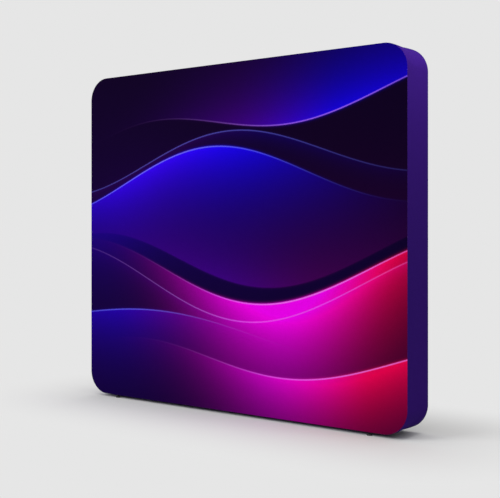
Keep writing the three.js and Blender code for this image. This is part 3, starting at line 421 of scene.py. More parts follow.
STEEL_LINES = (0.0005, 0.00001)
STEEL_ROUGH = (0.25, 0.42)


def circle(radius, sides, middle=(0, 0)):
    """Evenly spaced points round a circle, as (u, v)."""
    turns = [2 * math.pi * k / sides for k in range(sides)]
    return [(middle[0] + radius * math.cos(turn), middle[1] + radius * math.sin(turn)) for turn in turns]


def add_rings(mesh, rings, closed_ends=True):
    """Joins rings of bmesh vertices in order, and closes the two ends with faces."""
    faces = []
    for lower, upper in zip(rings, rings[1:]):
        count = len(lower)
        for i in range(count):
            j = (i + 1) % count
            faces.append(mesh.faces.new((lower[i], lower[j], upper[j], upper[i])))
    if closed_ends:
        faces.append(mesh.faces.new(rings[0][::-1]))
        faces.append(mesh.faces.new(rings[-1]))
    return faces


def turned_rings(mesh, profile, sides, centre):
    """Rings round an upright axis for a profile of (radius, height)."""
    return [
        [mesh.verts.new((x, y, height)) for x, y in circle(radius, sides, centre)]
        for radius, height in profile]


def add_thread(mesh, radius, depth, pitch, sides, start, end, centre):
    """A screwed stud: one helical skin of thread flanks, with its two ends closed."""
    rows = []
    for turn in range(int((end - start) / pitch)):
        for share, standing in THREAD_SHARES:
            ring = circle(radius - depth * (1 - standing), sides, centre)
            rows.append([
                mesh.verts.new((x, y, start + pitch * (turn + share + k / sides)))
                for k, (x, y) in enumerate(ring)])
    faces = []
    step = len(THREAD_SHARES)
    for number, row in enumerate(rows[:-1]):
        above = rows[number + 1]
        for k in range(sides - 1):
            faces.append(mesh.faces.new((row[k], row[k + 1], above[k + 1], above[k])))
        if number + step + 1 < len(rows):
            faces.append(mesh.faces.new(
                (row[-1], rows[number + step][0], rows[number + step + 1][0], above[-1])))
    # The first and the last turn each leave a stepped rim, which a cap closes
    first = rows[0] + [row[0] for row in rows[step:0:-1]]
    last = rows[-1][::-1] + [row[-1] for row in rows[-2:-2 - step:-1]]
    for rim in (first, last):
        faces.append(mesh.faces.new(rim[::-1]))
    return faces


def finish_mesh(mesh, name, materials, smooth_below=CREASE_ANGLE):
    """Turns a bmesh into an object with normals outwards and creases only where faces meet sharply."""
    bmesh.ops.recalc_face_normals(mesh, faces=mesh.faces)
    for face in mesh.faces:
        face.smooth = True
    for edge in mesh.edges:
        edge.smooth = not edge.is_boundary and edge.calc_face_angle(0) < smooth_below
    data = bpy.data.meshes.new(name)
    mesh.to_mesh(data)
    mesh.free()
    for material in materials:
        data.materials.append(material)
    return add_object(name, data)


foot_plastic = grained(
    "moulded foot", FOOT_COLOUR, FOOT_SHADE, FOOT_GRAIN, FOOT_ROUGH, FOOT_DUST, DUST_LIMITS,
    Specular_IOR_Level=0.35)
blackened_steel = drawn_metal(
    "blackened steel", STEEL_COLOUR, STEEL_SHADE, STEEL_LINES, "Z", STEEL_ROUGH)
pad_top = FOOT_PROFILE[-1][1]
hex_profile = [
    (HEX_RADIUS, pad_top), (HEX_RADIUS, pad_top + HEX_HEIGHT - HEX_EASE),
    (HEX_RADIUS - HEX_EASE, pad_top + HEX_HEIGHT)]

stations = [f"{side}_{row}" for side in ("right", "left") for row in ("front", "rear")]
for station in stations:
    foot_low, foot_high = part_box(f"levelling_foot_{station}")
    centre = (foot_low + foot_high) / 2
    mesh = bmesh.new()
    add_rings(mesh, turned_rings(mesh, FOOT_PROFILE, FOOT_SIDES, centre))
    metal_faces = add_rings(mesh, turned_rings(mesh, hex_profile, HEX_SIDES, centre))
    metal_faces += add_thread(
        mesh, STUD_RADIUS, THREAD_DEPTH, THREAD_PITCH, THREAD_SIDES, pad_top, foot_high.z, centre)
    for face in metal_faces:
        face.material_index = 1
    foot = finish_mesh(mesh, f"screw_foot_{station}", [foot_plastic, blackened_steel])
    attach(foot, f"foot_{station}")
    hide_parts(f"levelling_foot_{station}")


# Eyelets. Pressed brass rings, nickel plated, that keep the cloth from tearing where a stud goes
# through it. The flange is rolled, and the barrel is curled over inside.
EYELET_BORE = STUD_RADIUS + 0.0012
EYELET_SIDES = 40
EYELET_MOUTH = [
    # past the bore, above the flange's underside
    (0.0, 0.0003), (0.0006, 0.0), (0.0022, 0.0),
]
EYELET_RIM = [
    # inside the flange's edge, above its underside
    (0.0015, 0.0002), (0.0003, 0.0004), (0.0, 0.0006), (0.0003, 0.0008),
]
EYELET_BARREL = [
    # past the bore, below the barrel's top
    (0.0012, 0.0002), (0.0006, 0.0), (0.0, 0.0002),
]
NICKEL_COLOUR = (0.60, 0.57, 0.52, 1)
NICKEL_SHADE = (0.50, 0.47, 0.43, 1)
NICKEL_LINES = (0.0006, 0.00001)
NICKEL_ROUGH = (0.2, 0.34)

nickel = drawn_metal("nickel plated brass", NICKEL_COLOUR, NICKEL_SHADE, NICKEL_LINES, "Z", NICKEL_ROUGH)
for station in stations:
    low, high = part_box(f"eyelet_{station}")
    flange = (high.x - low.x) / 2
    profile = [(EYELET_BORE + past, low.z + rise) for past, rise in EYELET_MOUTH]
    profile += [(flange - inside, low.z + rise) for inside, rise in EYELET_RIM]
    profile.append((EYELET_BORE + EYELET_BARREL[0][0], low.z + EYELET_RIM[-1][1]))
    profile += [(EYELET_BORE + past, high.z - drop) for past, drop in EYELET_BARREL]
    mesh = bmesh.new()
    rings = turned_rings(mesh, profile, EYELET_SIDES, (low + high) / 2)
    add_rings(mesh, rings + rings[:1], closed_ends=False)
    eyelet = finish_mesh(mesh, f"pressed_eyelet_{station}", [nickel])
    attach(eyelet, "wall")
    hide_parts(f"eyelet_{station}")


# Printed front. One panel of knitted polyester, dyed right through with soft waves of light on a deep
# navy ground, cut with rounded corners and sewn to the side cloths. The frame pulls it flat.
CLOTH_THICK = 0.0005
CORNER_RADIUS = 0.150
OUTLINE_STEP = 0.005
FOLD_RADIUS = 0.0015
SEAM_LIP = math.radians(45)
SEAM_HALF_GAP = math.radians(7)
ALLOWANCE = 0.0019
LIP_STEPS = 3
PUCKER_DEPTH = 0.00035
PUCKER_LENGTH = 0.021
PUCKER_FADE = 0.009
# how far its waves shift to and fro, and how fast along the edge
PUCKER_DRIFT = (2.1, 9.7)
# how fast its depth comes and goes along the edge, and where that starts
PUCKER_BEAT = (5.3, 1.7)
PUCKER_LEAST = 0.2
BEND_FADE = 0.06
FLAT_INSETS = [0.003, 0.0055, 0.009, 0.014, 0.021, 0.032, 0.050, 0.080, 0.120]
FILL_STEP = 0.10
FILL_TOLERANCE = 1e-7
CLOTH_FINISH = {"Roughness": 0.85, "Specular_IOR_Level": 0.02}
CLOTH_THREAD = 0.0009
CLOTH_THREAD_DEPTH = 0.00006
WAVE_TEXTURE_PERIOD = math.pi / 10


def eased(share):
    """0 to 1, clamped, starting and ending gently."""
    share = min(1, max(0, share))
    return share * share * (3 - 2 * share)


class Outline:
    """Evenly spaced points round a rounded rectangle, clockwise from the middle of its top as seen
    from the front: places, outward directions, runs along the edge, and how far each is in a bend."""

    def __init__(self, middle_x, middle_z, half_width, half_height, radius, step):
        run_x, run_z = half_width - radius, half_height - radius
        self.middle, self.runs, self.radius = (middle_x, middle_z), (run_x, run_z), radius
        arc = radius * math.pi / 2
        legs = [run_x, arc, 2 * run_z, arc, 2 * run_x, arc, 2 * run_z, arc, run_x]
        self.length = sum(legs)
        self.count = 4 * round(self.length / step / 4)
        bends = [sum(legs[:k]) + arc / 2 for k in range(1, len(legs), 2)]
        rows = []
        for k in range(self.count):
            station = self.length * k / self.count
            place = Vector((middle_x, middle_z + half_height))
            heading, left = 0.0, station
            for number, leg in enumerate(legs):
                part = min(left, leg)
                left -= part
                if number % 2 and part:
                    centre = place - radius * self.outward_of(heading)
                    heading -= part / radius
                    place = centre + radius * self.outward_of(heading)
                else:
                    place = place + part * Vector((math.cos(heading), math.sin(heading)))
            near = min(abs(station - bend) for bend in bends)
            in_bend = eased((arc / 2 + BEND_FADE - near) / (2 * BEND_FADE))
            rows.append((*place, *self.outward_of(heading), station, in_bend))
        table = np.array(rows)
        self.places, self.outward = table[:, 0:2], table[:, 2:4]
        self.stations, self.bend = table[:, 4], table[:, 5]
        # How far the seam's uneven gathers draw the cloth in, at the edge itself
        drift = PUCKER_DRIFT[0] * np.sin(self.stations * PUCKER_DRIFT[1])
        waves = (1 + np.sin(2 * math.pi * self.stations / PUCKER_LENGTH + drift)) / 2
        beat = (1 + np.sin(self.stations * PUCKER_BEAT[0] + PUCKER_BEAT[1])) / 2
        self.gather = PUCKER_DEPTH * waves * (PUCKER_LEAST + (1 - PUCKER_LEAST) * beat)

    @staticmethod
    def outward_of(heading):
        return Vector((-math.sin(heading), math.cos(heading)))

    def holds(self, x, z, margin=0.0):
        """True if a point of the face lies inside, or outside by less than the margin."""
        past_x = max(0, abs(x - self.middle[0]) - self.runs[0])
        past_z = max(0, abs(z - self.middle[1]) - self.runs[1])
        return math.hypot(past_x, past_z) < self.radius + margin

    def ring(self, inset, y):
        """The outline drawn in by inset, at depth y, which may differ from point to point."""
        flat = self.places - self.outward * inset
        return np.column_stack([flat[:, 0], np.broadcast_to(y, self.count), flat[:, 1]])


def fold(angle):
    """(inset, depth) on the small fold where a cloth turns in at the wall's edge. At 0 it faces
    outwards, at a right angle it faces the front or the back."""
    return FOLD_RADIUS * (1 - math.cos(angle)), FOLD_RADIUS * (1 - math.sin(angle))


def seam_fold(lip, flat):
    """A seam's edge as (inset, depth): its allowance, tucked in at half a right angle, and the fold
    from the angle of its lip to that of the flat cloth."""
    inset, depth = fold(lip)
    tuck = ALLOWANCE / math.sqrt(2)
    turns = [lip + (flat - lip) * step / LIP_STEPS for step in range(LIP_STEPS + 1)]
    return [(inset + tuck, depth + tuck)] + [fold(turn) for turn in turns]


def round_edges(first, count):
    """Edges of a closed loop of count points, numbered from first."""
    return [(first + i, first + (i + 1) % count) for i in range(count)]


def fill(flat, edges, covers):
    """Triangles between flat points, as their numbers, where covers is true of a triangle's middle."""
    places, _, triangles, origins, _, _ = delaunay_2d_cdt(flat, edges, [], 0, FILL_TOLERANCE)
    kept = []
    for corners in triangles:
        if covers(sum((places[c] for c in corners), Vector((0, 0))) / len(corners)):
            kept.append([origins[c][0] for c in corners])
    return kept


def strips(first, count, rings):
    """Faces between closed rings of count points each, numbered from first."""
    faces = []
    for k in range(rings - 1):
        for i, j in round_edges(first + k * count, count):
            faces.append((i, i + count, j + count, j))
    return faces


def panel(name, outline, face_y, inwards, insets, holes, material):
    """A flat cloth with its edge folded in all round. Inwards is 1 if the inside lies towards +Y.
    A hole is an outline that the fill meets, and the hem inside it as (inset, rise) from there."""
    section = seam_fold(SEAM_LIP + SEAM_HALF_GAP, math.pi / 2) + [(inset, 0.0) for inset in insets]
    rings = []
    for inset, depth in section:
        sunk = depth + outline.gather * math.exp(-inset / PUCKER_FADE)
        rings.append(outline.ring(inset, face_y + inwards * sunk))
    points = [tuple(p) for ring in rings for p in ring]
    count = outline.count
    faces = strips(0, count, len(rings))
    # The flat middle: the last ring, the holes' first rings and a coarse grid, joined by triangles
    index = list(range(len(points) - count, len(points)))
    edges = round_edges(0, count)
    for hole, hem in holes:
        first = len(points)
        for inset, rise in hem:
            points += [tuple(p) for p in hole.ring(inset, face_y - inwards * rise)]
        faces += strips(first, hole.count, len(hem))
        edges += round_edges(len(index), hole.count)
        index += range(first, first + hole.count)

    def clear_of_holes(place, margin=0.0):
        return not any(hole.holds(*place, margin) for hole, hem in holes)

    grid_x, grid_z = [
        np.arange(middle - reach, middle + reach, FILL_STEP)
        for middle, reach in zip(outline.middle, outline.runs)]
    for x in grid_x:
        for z in grid_z:
            if clear_of_holes((x, z), FILL_STEP / 4):
                index.append(len(points))
                points.append((x, face_y, z))
    flat = [Vector((points[i][0], points[i][2])) for i in index]
    faces += [tuple(index[i] for i in corners) for corners in fill(flat, edges, clear_of_holes)]
    if inwards < 0:
        faces = [face[::-1] for face in faces]
    data = bpy.data.meshes.new(name)
    data.from_pydata(points, [], faces)
    data.materials.append(material)
    data.shade_smooth()
    return add_object(name, data)


def thicken(cloth, thickness):
    """The cloth's own thickness, behind the face that shows."""
    solid = cloth.modifiers.new("cloth thickness", "SOLIDIFY")
    solid.thickness = thickness
    solid.offset = -1


def knit(tree, place, pitch):
    """A height from 0 to 1: threads of this pitch, over and under each other."""
    checks = add_node(tree, "ShaderNodeTexChecker", {"Vector": place, "Scale": 1 / pitch})
    across, along = [
        add_node(
            tree, "ShaderNodeTexWave", {"Vector": place, "Scale": WAVE_TEXTURE_PERIOD / pitch},
            bands_direction=axis).outputs["Fac"]
        for axis in "XY"]
    made = add_node(
        tree, "ShaderNodeMix", {0: checks.outputs["Fac"], 2: across, 3: along}, data_type="FLOAT")
    return made.outputs[0]


def facing_plane(tree):
    """The piece's X and Z as a pattern's own X and Y."""
    place = parts_of(tree, object_place(tree))
    return add_node(tree, "ShaderNodeCombineXYZ", {"X": place["X"], "Y": place["Z"]}).outputs[0]


WAVE_INPUTS = [
    # name, kind
    ("X", "Float"), ("Z", "Float"), ("Height", "Float"), ("Slope", "Float"), ("Swell", "Float"),
    ("Turns", "Float"), ("Phase", "Float"), ("Side", "Float"), ("Reach", "Float"), ("Middle", "Float"),
    ("Span", "Float"), ("Glow", "Float"), ("Line", "Float"), ("Turnover", "Float"),
    ("Left Colour", "Color"), ("Right Colour", "Color"), ("Line Colour", "Color"),
]
CREST_EDGE = 0.0045
LINE_WIDTH = 0.0035
TURNOVER_SPAN = 0.9


def bell(tree, value):
    """1 where the value is 0, and less the farther it is from that."""
    squared = calculate(tree, "MULTIPLY", value, value)
    return calculate(tree, "EXPONENT", calculate(tree, "MULTIPLY", squared, -1.0))


def scale_vector(tree, vector, factor):
    made = add_node(tree, "ShaderNodeVectorMath", {0: vector, "Scale": factor}, operation="SCALE")
    return made.outputs[0]


def printed_wave():
    """One wave of the print: a crest across the panel, a glow that dies away on one side of it, and a
    thin bright line along it. The glow and the line are strongest round their middle."""
    group = bpy.data.node_groups.new("printed wave", "ShaderNodeTree")
    for name, kind in WAVE_INPUTS:
        group.interface.new_socket(name, in_out="INPUT", socket_type=f"NodeSocket{kind}")
    group.interface.new_socket("Light", in_out="OUTPUT", socket_type="NodeSocketColor")
    given = group.nodes.new("NodeGroupInput").outputs
    angle = calculate(group, "MULTIPLY_ADD", given["X"], given["Turns"], given["Phase"])
    swell = calculate(group, "MULTIPLY", calculate(group, "SINE", angle), given["Swell"])
    tilted = calculate(group, "MULTIPLY_ADD", given["X"], given["Slope"], given["Height"])
    crest = calculate(group, "ADD", tilted, swell)
    rise = calculate(group, "MULTIPLY", calculate(group, "SUBTRACT", given["Z"], crest), given["Side"])
    lit_side = calculate(group, "DIVIDE", rise, given["Reach"])
    dark_side = calculate(group, "DIVIDE", rise, -CREST_EDGE)
    away = calculate(group, "MAXIMUM", lit_side, dark_side)
    glow = calculate(group, "EXPONENT", calculate(group, "MULTIPLY", away, -1.0))
    aside = calculate(
        group, "DIVIDE", calculate(group, "SUBTRACT", given["X"], given["Middle"]), given["Span"])
    along = bell(group, aside)
    line = bell(group, calculate(group, "DIVIDE", rise, LINE_WIDTH))
    past_turnover = calculate(group, "SUBTRACT", given["X"], given["Turnover"])
    turned = span(group, past_turnover, -TURNOVER_SPAN / 2, TURNOVER_SPAN / 2, way="SMOOTHSTEP")
    colour = blend_colours(group, turned, given["Left Colour"], given["Right Colour"])
    glow_share = calculate(group, "MULTIPLY", calculate(group, "MULTIPLY", glow, along), given["Glow"])
    line_share = calculate(group, "MULTIPLY", calculate(group, "MULTIPLY", line, along), given["Line"])
    light = calculate_vector(
        group, "ADD", scale_vector(group, colour, glow_share),
        scale_vector(group, given["Line Colour"], line_share))
    result = group.nodes.new("NodeGroupOutput")
    group.links.new(light, result.inputs["Light"])
    return group


def srgb(red, green, blue):
    """A colour given as a screen shows it, 0 to 255, in the linear values that shaders use."""
    def linear(value):
        share = value / 255
        return share / 12.92 if share <= 0.04045 else ((share + 0.055) / 1.055) ** 2.4
    return (linear(red), linear(green), linear(blue), 1)


NAVY = srgb(14, 0, 34)
INDIGO = srgb(19, 0, 52)
BLUE = srgb(8, 0, 255)
ULTRAMARINE = srgb(34, 0, 205)
VIOLET = srgb(96, 0, 190)
PLUM = srgb(120, 0, 120)
MAGENTA = srgb(255, 0, 240)
ROSE = srgb(255, 0, 70)
LILAC = srgb(205, 130, 255)
SKY = srgb(120, 120, 255)
WAVES = [
    # height, slope, swell, turns, phase, side, reach, middle, span, glow, line, turnover, colours
    (1.50, 0.02, 0.20, 2.1, 1.9, -1, 0.22, -0.55, 0.85, 1.5, 0.9, -0.2, ULTRAMARINE, BLUE, SKY),
    (1.62, 0.03, 0.17, 2.2, 1.6, -1, 0.05, -0.30, 1.30, 0.10, 0.35, 0.0, VIOLET, BLUE, SKY),
    (1.86, 0.10, 0.10, 2.6, 3.4, 1, 0.20, 0.80, 0.80, 0.8, 0.6, 0.4, VIOLET, BLUE, LILAC),
    (0.92, 0.03, -0.22, 2.0, 1.1, -1, 0.25, 0.62, 0.72, 1.7, 1.0, 0.78, MAGENTA, ROSE, LILAC),
    (1.00, 0.05, -0.20, 2.1, 0.9, 1, 0.24, 0.10, 0.95, 0.35, 0.0, 0.3, VIOLET, PLUM, LILAC),
    (0.84, 0.02, -0.25, 1.9, 1.3, -1, 0.04, 0.30, 1.20, 0.15, 0.40, 0.3, VIOLET, MAGENTA, LILAC),
    (0.36, 0.06, -0.12, 2.3, 0.4, -1, 0.18, 0.95, 0.75, 1.1, 0.8, 0.6, MAGENTA, ROSE, LILAC),
    (0.50, -0.04, 0.10, 1.8, 2.6, -1, 0.20, -0.95, 0.70, 0.6, 0.5, -0.6, ULTRAMARINE, VIOLET, SKY),
]
GROUND_LIMITS = (0.2, 1.9)
GROUND_SLANT = 0.35
DYE_STRENGTH = 0.74
YARN_SHADE = 0.95
MOTTLE_SIZE = 0.02
MOTTLE_SHARE = 0.015

front_low, front_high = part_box("front_panel")
back_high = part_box("back_panel")[1]
half_width = (front_high.x - front_low.x) / 2
half_height = (front_high.z - front_low.z) / 2
middle_z = (front_high.z + front_low.z) / 2

print_material, tree, shader = new_material("dyed print cloth", **CLOTH_FINISH)
flat_place = facing_plane(tree)
across_print, up_print = [parts_of(tree, flat_place)[axis] for axis in "XY"]
ground_height = calculate(tree, "MULTIPLY_ADD", across_print, GROUND_SLANT, up_print)
light = blend_colours(tree, span(tree, ground_height, *GROUND_LIMITS), INDIGO, NAVY)
wave_group = printed_wave()
for row in WAVES:
    wave = add_node(tree, "ShaderNodeGroup", node_tree=wave_group)
    for (name, kind), value in zip(WAVE_INPUTS, (across_print, up_print, *row)):
        feed(tree, wave.inputs[name], value)
    light = calculate_vector(tree, "ADD", light, wave.outputs["Light"])
capped = calculate_vector(tree, "MINIMUM", light, (1, 1, 1))
threads = knit(tree, flat_place, CLOTH_THREAD)
mottle = span(tree, noise(tree, flat_place, MOTTLE_SIZE), *NOISE_LIMITS, -MOTTLE_SHARE, MOTTLE_SHARE)
yarn = calculate(tree, "ADD", span(tree, threads, 0, 1, YARN_SHADE, 1.0), mottle)
dyed = scale_vector(tree, capped, calculate(tree, "MULTIPLY", yarn, DYE_STRENGTH))
tree.links.new(dyed, shader.inputs["Base Color"])
raise_surface(tree, shader, threads, CLOTH_THREAD_DEPTH)

face_outline = Outline(0.0, middle_z, half_width, half_height, CORNER_RADIUS, OUTLINE_STEP)
front_cloth = panel("printed_front", face_outline, front_low.y, 1, FLAT_INSETS, [], print_material)
thicken(front_cloth, CLOTH_THICK)
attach(front_cloth, "wall")
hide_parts("front_panel")


# Side cloths. Two strips of the same knit in plain violet, one round each end of the wall, joined at
# the middle of the top and the bottom. They lie on the tubes, and dip slightly between them.
BAND_FLATS = [0.003, 0.0055, 0.0100, 0.0163, 0.0225, 0.031, 0.040, 0.055, 0.075, 0.100, 0.125]
STUD_ROOM = 0.0100
STUD_DEPTHS = (0.0095, 0.0230)
TUBE_REST = 0.031
STRAIGHT_DIP = 0.0006
BEND_DIP = 0.0028
JOIN_HALF_GAP = 0.0003
JOIN_FOLD = [
    # off the middle, inset
    (0.0, 0.0018), (0.0, 0.0006), (0.0004, 0.00015), (0.0010, 0.0),
]
MARKED = 0.5
SIDE_COLOUR = srgb(49, 19, 108)
SIDE_SHADE = srgb(44, 17, 99)
SIDE_MOTTLE = 0.03
KNIT_LIMITS = (0.5, 1.5)


def points_object(name, points, edges=(), **attributes):
    """A mesh object of points and edges with attributes on its points, for a tree to read."""
    data = bpy.data.meshes.new(name)
    data.from_pydata([tuple(p) for p in points], list(edges), [])
    for key, values in attributes.items():
        values = np.asarray(values, np.float32)
        kind, field = ("FLOAT", "value") if values.ndim == 1 else ("FLOAT_VECTOR", "vector")
        data.attributes.new(key, kind, "POINT").data.foreach_set(field, values.ravel())
    return add_object(name, data)


def new_tree(name, **inputs):
    """A Geometry Nodes tree with a geometry input and named ones, and the nodes at its two ends."""
    tree = bpy.data.node_groups.new(name, "GeometryNodeTree")
    tree.interface.new_socket("Geometry", in_out="INPUT", socket_type="NodeSocketGeometry")
    for key, kind in inputs.items():
        tree.interface.new_socket(key.replace("_", " "), in_out="INPUT", socket_type=f"NodeSocket{kind}")
    tree.interface.new_socket("Geometry", in_out="OUTPUT", socket_type="NodeSocketGeometry")
    return tree, tree.nodes.new("NodeGroupInput").outputs, tree.nodes.new("NodeGroupOutput").inputs


def grow(tree, name, source, **values):
    """Runs the tree on the source object and gives its result as a plain mesh. The source is used up."""
    modifier = source.modifiers.new(tree.name, "NODES")
    modifier.node_group = tree
    for item in tree.interface.items_tree:
        key = item.name.replace(" ", "_")
        if item.in_out == "INPUT" and key in values:
            modifier[item.identifier] = values[key]
    bpy.context.view_layer.update()
    depsgraph = bpy.context.evaluated_depsgraph_get()
    data = bpy.data.meshes.new_from_object(source.evaluated_get(depsgraph), depsgraph=depsgraph)
    data.name = name
    bpy.data.objects.remove(source)
    return add_object(name, data)


def open_socket(sockets, name):
    """The socket of that name which the node's chosen type has open."""
    return next(s for s in sockets if s.name == name and s.enabled)


def named(tree, name, kind):
    made = add_node(tree, "GeometryNodeInputNamedAttribute", {"Name": name}, data_type=kind)
    return open_socket(made.outputs, "Attribute")


def sampled(tree, geometry, value, index, kind):
    """What a point of another geometry holds."""
    made = add_node(
        tree, "GeometryNodeSampleIndex", {"Geometry": geometry, "Index": index},
        data_type=kind, domain="POINT")
    tree.links.new(value, open_socket(made.inputs, "Value"))
    return open_socket(made.outputs, "Value")


def stored(tree, geometry, name, value, kind, domain):
    """The geometry with a value written down on it."""
    made = add_node(
        tree, "GeometryNodeStoreNamedAttribute", {"Geometry": geometry, "Name": name},
        data_type=kind, domain=domain)
    tree.links.new(value, open_socket(made.inputs, "Value"))
    return made.outputs[0]


def finish_tree(tree, geometry, material, result):
    """A tree's last steps: its faces smooth, its copies made real and its material set."""
    smooth = add_node(tree, "GeometryNodeSetShadeSmooth", {0: geometry})
    real = add_node(tree, "GeometryNodeRealizeInstances", {0: smooth.outputs[0]})
    dressed = add_node(tree, "GeometryNodeSetMaterial", {0: real.outputs[0], "Material": material})
    tree.links.new(dressed.outputs[0], result["Geometry"])
    return tree


def band_of_cloth():
    """A strip that follows a path, its section given as points of (inset, depth). Section points also
    say how loose the cloth is there and how far the seam's gathers reach, and path points how far
    they are in a bend and how deep the gathers are."""
    tree, given, result = new_tree(
        "band of cloth", Section="Object", Straight_Dip="Float", Bend_Dip="Float", Cloth="Material")
    path = given["Geometry"]
    section = add_node(tree, "GeometryNodeObjectInfo", {"Object": given["Section"]}).outputs["Geometry"]
    path_count, section_count = [
        add_node(tree, "GeometryNodeAttributeDomainSize", {0: one}, component="MESH").outputs[0]
        for one in (path, section)]
    grid = add_node(
        tree, "GeometryNodeMeshGrid", {"Vertices X": path_count, "Vertices Y": section_count})
    index = tree.nodes.new("GeometryNodeInputIndex").outputs[0]
    along = calculate(tree, "FLOOR", calculate(tree, "DIVIDE", index, section_count))
    across = calculate(tree, "SUBTRACT", index, calculate(tree, "MULTIPLY", along, section_count))

    def on_path(name, kind="FLOAT"):
        return sampled(tree, path, named(tree, name, kind), along, kind)

    def on_section(name):
        return sampled(tree, section, named(tree, name, "FLOAT"), across, "FLOAT")

    position = tree.nodes.new("GeometryNodeInputPosition").outputs[0]
    place = sampled(tree, path, position, along, "FLOAT_VECTOR")
    profile = parts_of(tree, sampled(tree, section, position, across, "FLOAT_VECTOR"))
    dip = add_node(
        tree, "ShaderNodeMix",
        {0: on_path("bend"), 2: given["Straight Dip"], 3: given["Bend Dip"]}, data_type="FLOAT")
    gathered = calculate(tree, "MULTIPLY", on_path("gather"), on_section("near_seam"))
    sunk = calculate(tree, "MULTIPLY_ADD", on_section("loose"), dip.outputs[0], gathered)
    drawn_back = calculate(tree, "MULTIPLY", calculate(tree, "ADD", sunk, profile["X"]), -1.0)
    inward = scale_vector(tree, on_path("outward", "FLOAT_VECTOR"), drawn_back)
    depth = add_node(tree, "ShaderNodeCombineXYZ", {"Y": profile["Y"]}).outputs[0]
    shaped = calculate_vector(tree, "ADD", place, calculate_vector(tree, "ADD", inward, depth))
    moved = add_node(
        tree, "GeometryNodeSetPosition", {"Geometry": grid.outputs["Mesh"], "Position": shaped})
    # The flat place is worked out at the points, and then handed to the faces' corners
    flat = add_node(tree, "ShaderNodeCombineXYZ", {"X": on_path("station"), "Y": profile["Y"]})
    at_points = add_node(tree, "GeometryNodeFieldOnDomain", data_type="FLOAT_VECTOR", domain="POINT")
    tree.links.new(flat.outputs[0], open_socket(at_points.inputs, "Value"))
    flat_place = open_socket(at_points.outputs, "Value")
    mapped = stored(tree, moved.outputs[0], "UVMap", flat_place, "FLOAT2", "CORNER")
    near_stud = calculate(tree, "MULTIPLY", on_path("at_stud"), on_section("at_stud"))
    in_hole = calculate(tree, "GREATER_THAN", near_stud, MARKED)
    marked = stored(tree, mapped, "hole", in_hole, "BOOLEAN", "POINT")
    opened = add_node(
        tree, "GeometryNodeDeleteGeometry",
        {"Geometry": marked, "Selection": named(tree, "hole", "BOOLEAN")}, domain="FACE")
    return finish_tree(tree, opened.outputs[0], given["Cloth"], result)


def strip_plane(tree):
    """The places along and across a strip, which its tree has written down."""
    return add_node(tree, "ShaderNodeUVMap", uv_map="UVMap").outputs[0]


def plain_cloth(name, plane, light, shade, mottle, **values):
    """A knit of one colour, shaded by its threads and by a soft mottle in equal shares."""
    material, tree, shader = new_material(name, **values)
    place = plane(tree)
    threads = knit(tree, place, CLOTH_THREAD)
    both = calculate(tree, "ADD", threads, noise(tree, place, mottle))
    tint(tree, shader, both, KNIT_LIMITS, shade, light)
    raise_surface(tree, shader, threads, CLOTH_THREAD_DEPTH)
    return material


def padded(values):
    """Values along a path, the first and the last repeated for the folds at its ends."""
    folds = len(JOIN_FOLD)
    return np.concatenate([np.repeat(values[:1], folds, 0), values, np.repeat(values[-1:], folds, 0)])


def upright(flat):
    """Places or ways on the wall's face, given as (x, z)."""
    return np.column_stack([flat[:, 0], np.zeros(len(flat)), flat[:, 1]])


side_material = plain_cloth(
    "plain violet cloth", strip_plane, SIDE_COLOUR, SIDE_SHADE, SIDE_MOTTLE, **CLOTH_FINISH)
wall_depth = back_high.y - front_low.y
front_half = seam_fold(SEAM_LIP - SEAM_HALF_GAP, 0) + [(0.0, depth) for depth in BAND_FLATS]
profile = front_half + [(inset, wall_depth - depth) for inset, depth in front_half[-2::-1]]
edge_runs = np.array([min(depth, wall_depth - depth) for inset, depth in profile])
loose = np.sin(np.clip((edge_runs - TUBE_REST) / (wall_depth / 2 - TUBE_REST), 0, 1) * math.pi / 2) ** 2
section = points_object(
    "section", [(inset, front_low.y + depth, 0) for inset, depth in profile],
    loose=loose, near_seam=np.exp(-edge_runs / PUCKER_FADE),
    at_stud=(edge_runs > STUD_DEPTHS[0]) & (edge_runs < STUD_DEPTHS[1]))

band_tree = band_of_cloth()
half_count = face_outline.count // 2
eyelet_low, eyelet_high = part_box("eyelet_right_front")
stud_x = (eyelet_low.x + eyelet_high.x) / 2
for side, first, turn in (("right", 0, 1), ("left", half_count, -1)):
    rows = np.arange(first + 1, first + half_count) % face_outline.count
    places = face_outline.places[rows]
    fold_in = np.array([
        (turn * (off + JOIN_HALF_GAP), front_high.z - inset) for off, inset in JOIN_FOLD])
    fold_out = fold_in[::-1] * (1, -1) + (0, 2 * middle_z)
    ends = (fold_in, fold_out) if turn > 0 else (fold_out, fold_in)
    at_stud = (np.abs(np.abs(places[:, 0]) - stud_x) < STUD_ROOM) & (places[:, 1] < middle_z)
    source = points_object(
        "path", upright(np.vstack([ends[0], places, ends[1]])),
        outward=upright(padded(face_outline.outward[rows])),
        station=padded(face_outline.stations[rows]), bend=padded(face_outline.bend[rows]),
        gather=padded(face_outline.gather[rows]), at_stud=padded(at_stud))
    cloth = grow(
        band_tree, f"side_cloth_{side}", source,
        Section=section, Straight_Dip=STRAIGHT_DIP, Bend_Dip=BEND_DIP, Cloth=side_material)
    thicken(cloth, CLOTH_THICK)
    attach(cloth, "wall")
    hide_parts(f"side_band_{side}")
bpy.data.objects.remove(section)


